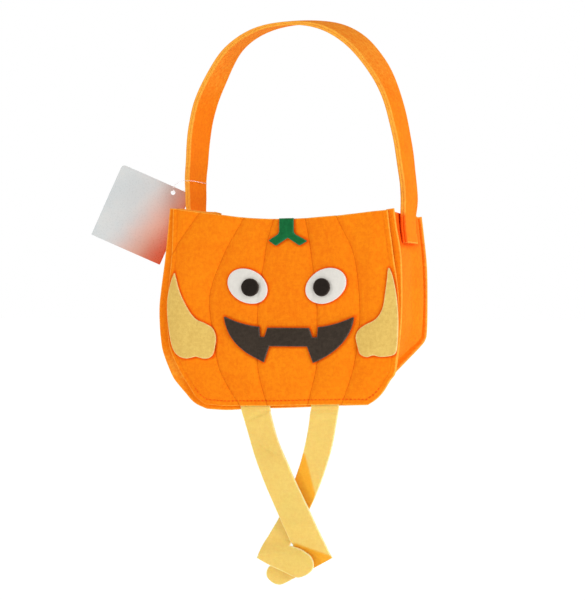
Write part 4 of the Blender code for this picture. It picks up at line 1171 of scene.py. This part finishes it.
def running_stitch():
    """A node tree that lays short stitches along a line. Their spacing, size and thread are its inputs."""
    tree = bpy.data.node_groups.new("running_stitch", "GeometryNodeTree")
    for name, way, kind in (("Geometry", "INPUT", "Geometry"), ("Stitch spacing", "INPUT", "Float"),
                            ("Stitch length", "INPUT", "Float"), ("Thread thickness", "INPUT", "Float"),
                            ("Thread", "INPUT", "Material"), ("Geometry", "OUTPUT", "Geometry")):
        tree.interface.new_socket(name, in_out=way, socket_type="NodeSocket" + kind)

    def step(kind, fed_by, **settings):
        """The outputs of a node with these settings, its inputs fed by sockets."""
        made = node(tree, kind, **settings)
        for key, socket in fed_by.items():
            link(socket, made.inputs[key])
        return made.outputs

    given = node(tree, "NodeGroupInput").outputs
    thick = given["Thread thickness"]
    line = step("GeometryNodeMeshToCurve", {"Mesh": given["Geometry"]})
    spaced = {"Curve": line["Curve"], "Length": given["Stitch spacing"]}
    spots = step("GeometryNodeCurveToPoints", spaced, mode="LENGTH")
    ball = step("GeometryNodeMeshUVSphere", {}, Segments=8, Rings=6, Radius=0.5)
    size = step("ShaderNodeCombineXYZ", {"X": thick, "Y": thick, "Z": given["Stitch length"]})
    shape = step("GeometryNodeTransform", {"Geometry": ball["Mesh"], "Scale": size["Vector"]})
    sewn = step("GeometryNodeInstanceOnPoints", {"Points": spots["Points"], "Instance": shape["Geometry"],
                                                 "Rotation": spots["Rotation"]})
    real = step("GeometryNodeRealizeInstances", {"Geometry": sewn["Instances"]})
    smooth = step("GeometryNodeSetShadeSmooth", {"Geometry": real["Geometry"]})
    painted = step("GeometryNodeSetMaterial", {"Geometry": smooth["Geometry"], "Material": given["Thread"]})
    step("NodeGroupOutput", {"Geometry": painted["Geometry"]})
    return tree


def sew(name, line, thickness, tree):
    """Stitches along a line of points in millimetres, as one plain mesh."""
    mesh = bpy.data.meshes.new(name)
    mesh.from_pydata(to_world(line).tolist(), [(i, i + 1) for i in range(len(line) - 1)], [])
    guide = linked(name + "_line", mesh)
    modifier = guide.modifiers.new("stitches", "NODES")
    modifier.node_group = tree
    wanted = {"Stitch spacing": STITCH_SPACING * MM, "Stitch length": STITCH_LENGTH * MM,
              "Thread thickness": thickness * MM, "Thread": orange_thread}
    for item in tree.interface.items_tree:
        if item.in_out == "INPUT" and item.name in wanted:
            modifier[item.identifier] = wanted[item.name]
    guide.update_tag()
    evaluated = guide.evaluated_get(bpy.context.evaluated_depsgraph_get())
    obj = linked(name, bpy.data.meshes.new_from_object(evaluated))
    bpy.data.objects.remove(guide, do_unlink=True)
    return obj


def seam_line(edge, depth):
    """A line of points inside a panel's sewn edge, at depth(x, z)."""
    x, z = (edge - edge_normals(edge) * STITCH_INSET)[4:-4].T
    return np.column_stack([x, depth(x, z), z])


def make_stitches():
    tree = running_stitch()
    front = seam_line(PANEL_EDGE, lambda x, z: 0.5 * smooth_step((z - 10) / 12) - front_relief(x, z) - 0.06)
    back = seam_line(BACK_EDGE, lambda x, z: np.full(len(x), DEPTH + 0.12))
    return {"front": sew("front_seam_stitches", front, FRONT_THREAD, tree),
            "back": sew("back_seam_stitches", back, BACK_THREAD, tree)}


def make_camera():
    data = bpy.data.cameras.new("camera")
    data.sensor_fit = "HORIZONTAL"
    data.sensor_width = 36.0
    data.lens = FOCAL_PX / PICTURE_PX * 36.0
    data.clip_start, data.clip_end = 0.05, 50.0
    camera = linked("camera", data)
    camera.location = to_world(CAMERA_PLACE)
    camera.rotation_euler = (math.pi / 2, 0.0, math.radians(CAMERA_TURN_DEG))
    bpy.context.scene.camera = camera


def add_lamp(name, kind, direction, **settings):
    """A lamp whose light comes from this direction."""
    data = bpy.data.lights.new(name, kind)
    for key, value in settings.items():
        setattr(data, key, value)
    lamp = linked(name, data)
    lamp.rotation_euler = Vector(direction).to_track_quat("Z", "Y").to_euler()
    return lamp


def softbox(name, direction, strength, softness_deg):
    """A large far softbox, as a sun of wide angle, so that the whole floor is lit evenly."""
    add_lamp(name, "SUN", direction, energy=strength, angle=math.radians(softness_deg))


def make_low_fill():
    """A broad weak lamp near the floor, which lights what faces down, such as the inside of the crown."""
    place, towards = Vector((0.80, -0.30, -0.26)), Vector((0.0, 0.04, 0.15))
    lamp = add_lamp("low_fill", "AREA", place - towards, energy=1.25, size=0.5)
    lamp.location = place + Vector(BAG_ORIGIN)
    lamp.visible_camera = False


def make_studio():
    """A plain white room: pale floor and surround, softboxes left, right and behind, and a weak low lamp."""
    scene = bpy.context.scene
    scene.view_settings.view_transform = "Standard"
    scene.world = bpy.data.worlds.new("studio")
    scene.world.use_nodes = True
    tree = scene.world.node_tree
    tree.nodes.clear()
    rays = node(tree, "ShaderNodeLightPath").outputs
    blend = node(tree, "ShaderNodeMixShader")
    seen = largest(rays["Is Camera Ray"], rays["Is Glossy Ray"], rays["Is Transmission Ray"])
    link(seen, blend.inputs["Fac"])
    for slot, strength in ((1, SURROUND_LIGHT), (2, SURROUND_SEEN)):
        surround = node(tree, "ShaderNodeBackground", Color=WHITE, Strength=strength)
        link(surround.outputs[0], blend.inputs[slot])
    link(blend.outputs[0], node(tree, "ShaderNodeOutputWorld").inputs["Surface"])
    softbox("left_softbox", (-0.72, -0.62, 0.36), 0.70, 12.0)
    make_low_fill()
    softbox("right_softbox", (0.80, -0.50, 0.42), 1.02, 26.0)
    softbox("rear_softbox", (0.48, 0.78, 0.42), 0.9, 28.0)
    make_floor()


def make_floor():
    material = bpy.data.materials.new("pale_floor")
    material.use_nodes = True
    tree = material.node_tree
    tree.nodes.clear()
    both = node(tree, "ShaderNodeAddShader")
    matt = node(tree, "ShaderNodeBsdfDiffuse", Color=(0.86, 0.86, 0.86, 1.0))
    glow = node(tree, "ShaderNodeEmission", Color=WHITE, Strength=FLOOR_GLOW)
    link(matt.outputs[0], both.inputs[0])
    link(glow.outputs[0], both.inputs[1])
    link(both.outputs[0], node(tree, "ShaderNodeOutputMaterial").inputs["Surface"])
    mesh = bpy.data.meshes.new("floor")
    corners = ((-1, -1), (1, -1), (1, 1), (-1, 1))
    level = BAG_ORIGIN[2] - FLOOR_DROP
    mesh.from_pydata([(x * FLOOR_REACH, y * FLOOR_REACH, level) for x, y in corners], [], [(0, 1, 2, 3)])
    mesh.materials.append(material)
    linked("floor", mesh)


def fasten_all():
    """Makes every piece, puts most on the body that they ride on, and hides the solids that they stand for."""
    front, back, gusset = make_front(), make_back(), make_gusset()
    stitches = make_stitches()
    for piece, nodes in ((front, "front_panel"), (back, "back_panel"), (gusset, "gusset")):
        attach(piece, "bag")
        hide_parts(nodes)
    for piece in stitches.values():
        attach(piece, "bag")
    for name, piece in make_face().items():
        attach(piece, "bag")
        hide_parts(name)
    for name, piece in make_handle().items():
        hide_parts(f"handle_{name}_layer", f"left_tail_{name}", f"right_tail_{name}")
        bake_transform(piece)
    for name, piece in make_legs().items():
        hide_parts(name + "_leg")
        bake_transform(piece)
    tag, loop = make_tag(), make_tag_loop()
    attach(tag, "tag")
    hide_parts("swing_tag")
    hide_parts("tag_fastener")
    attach(loop, "handle")


make_camera()
make_studio()
fasten_all()
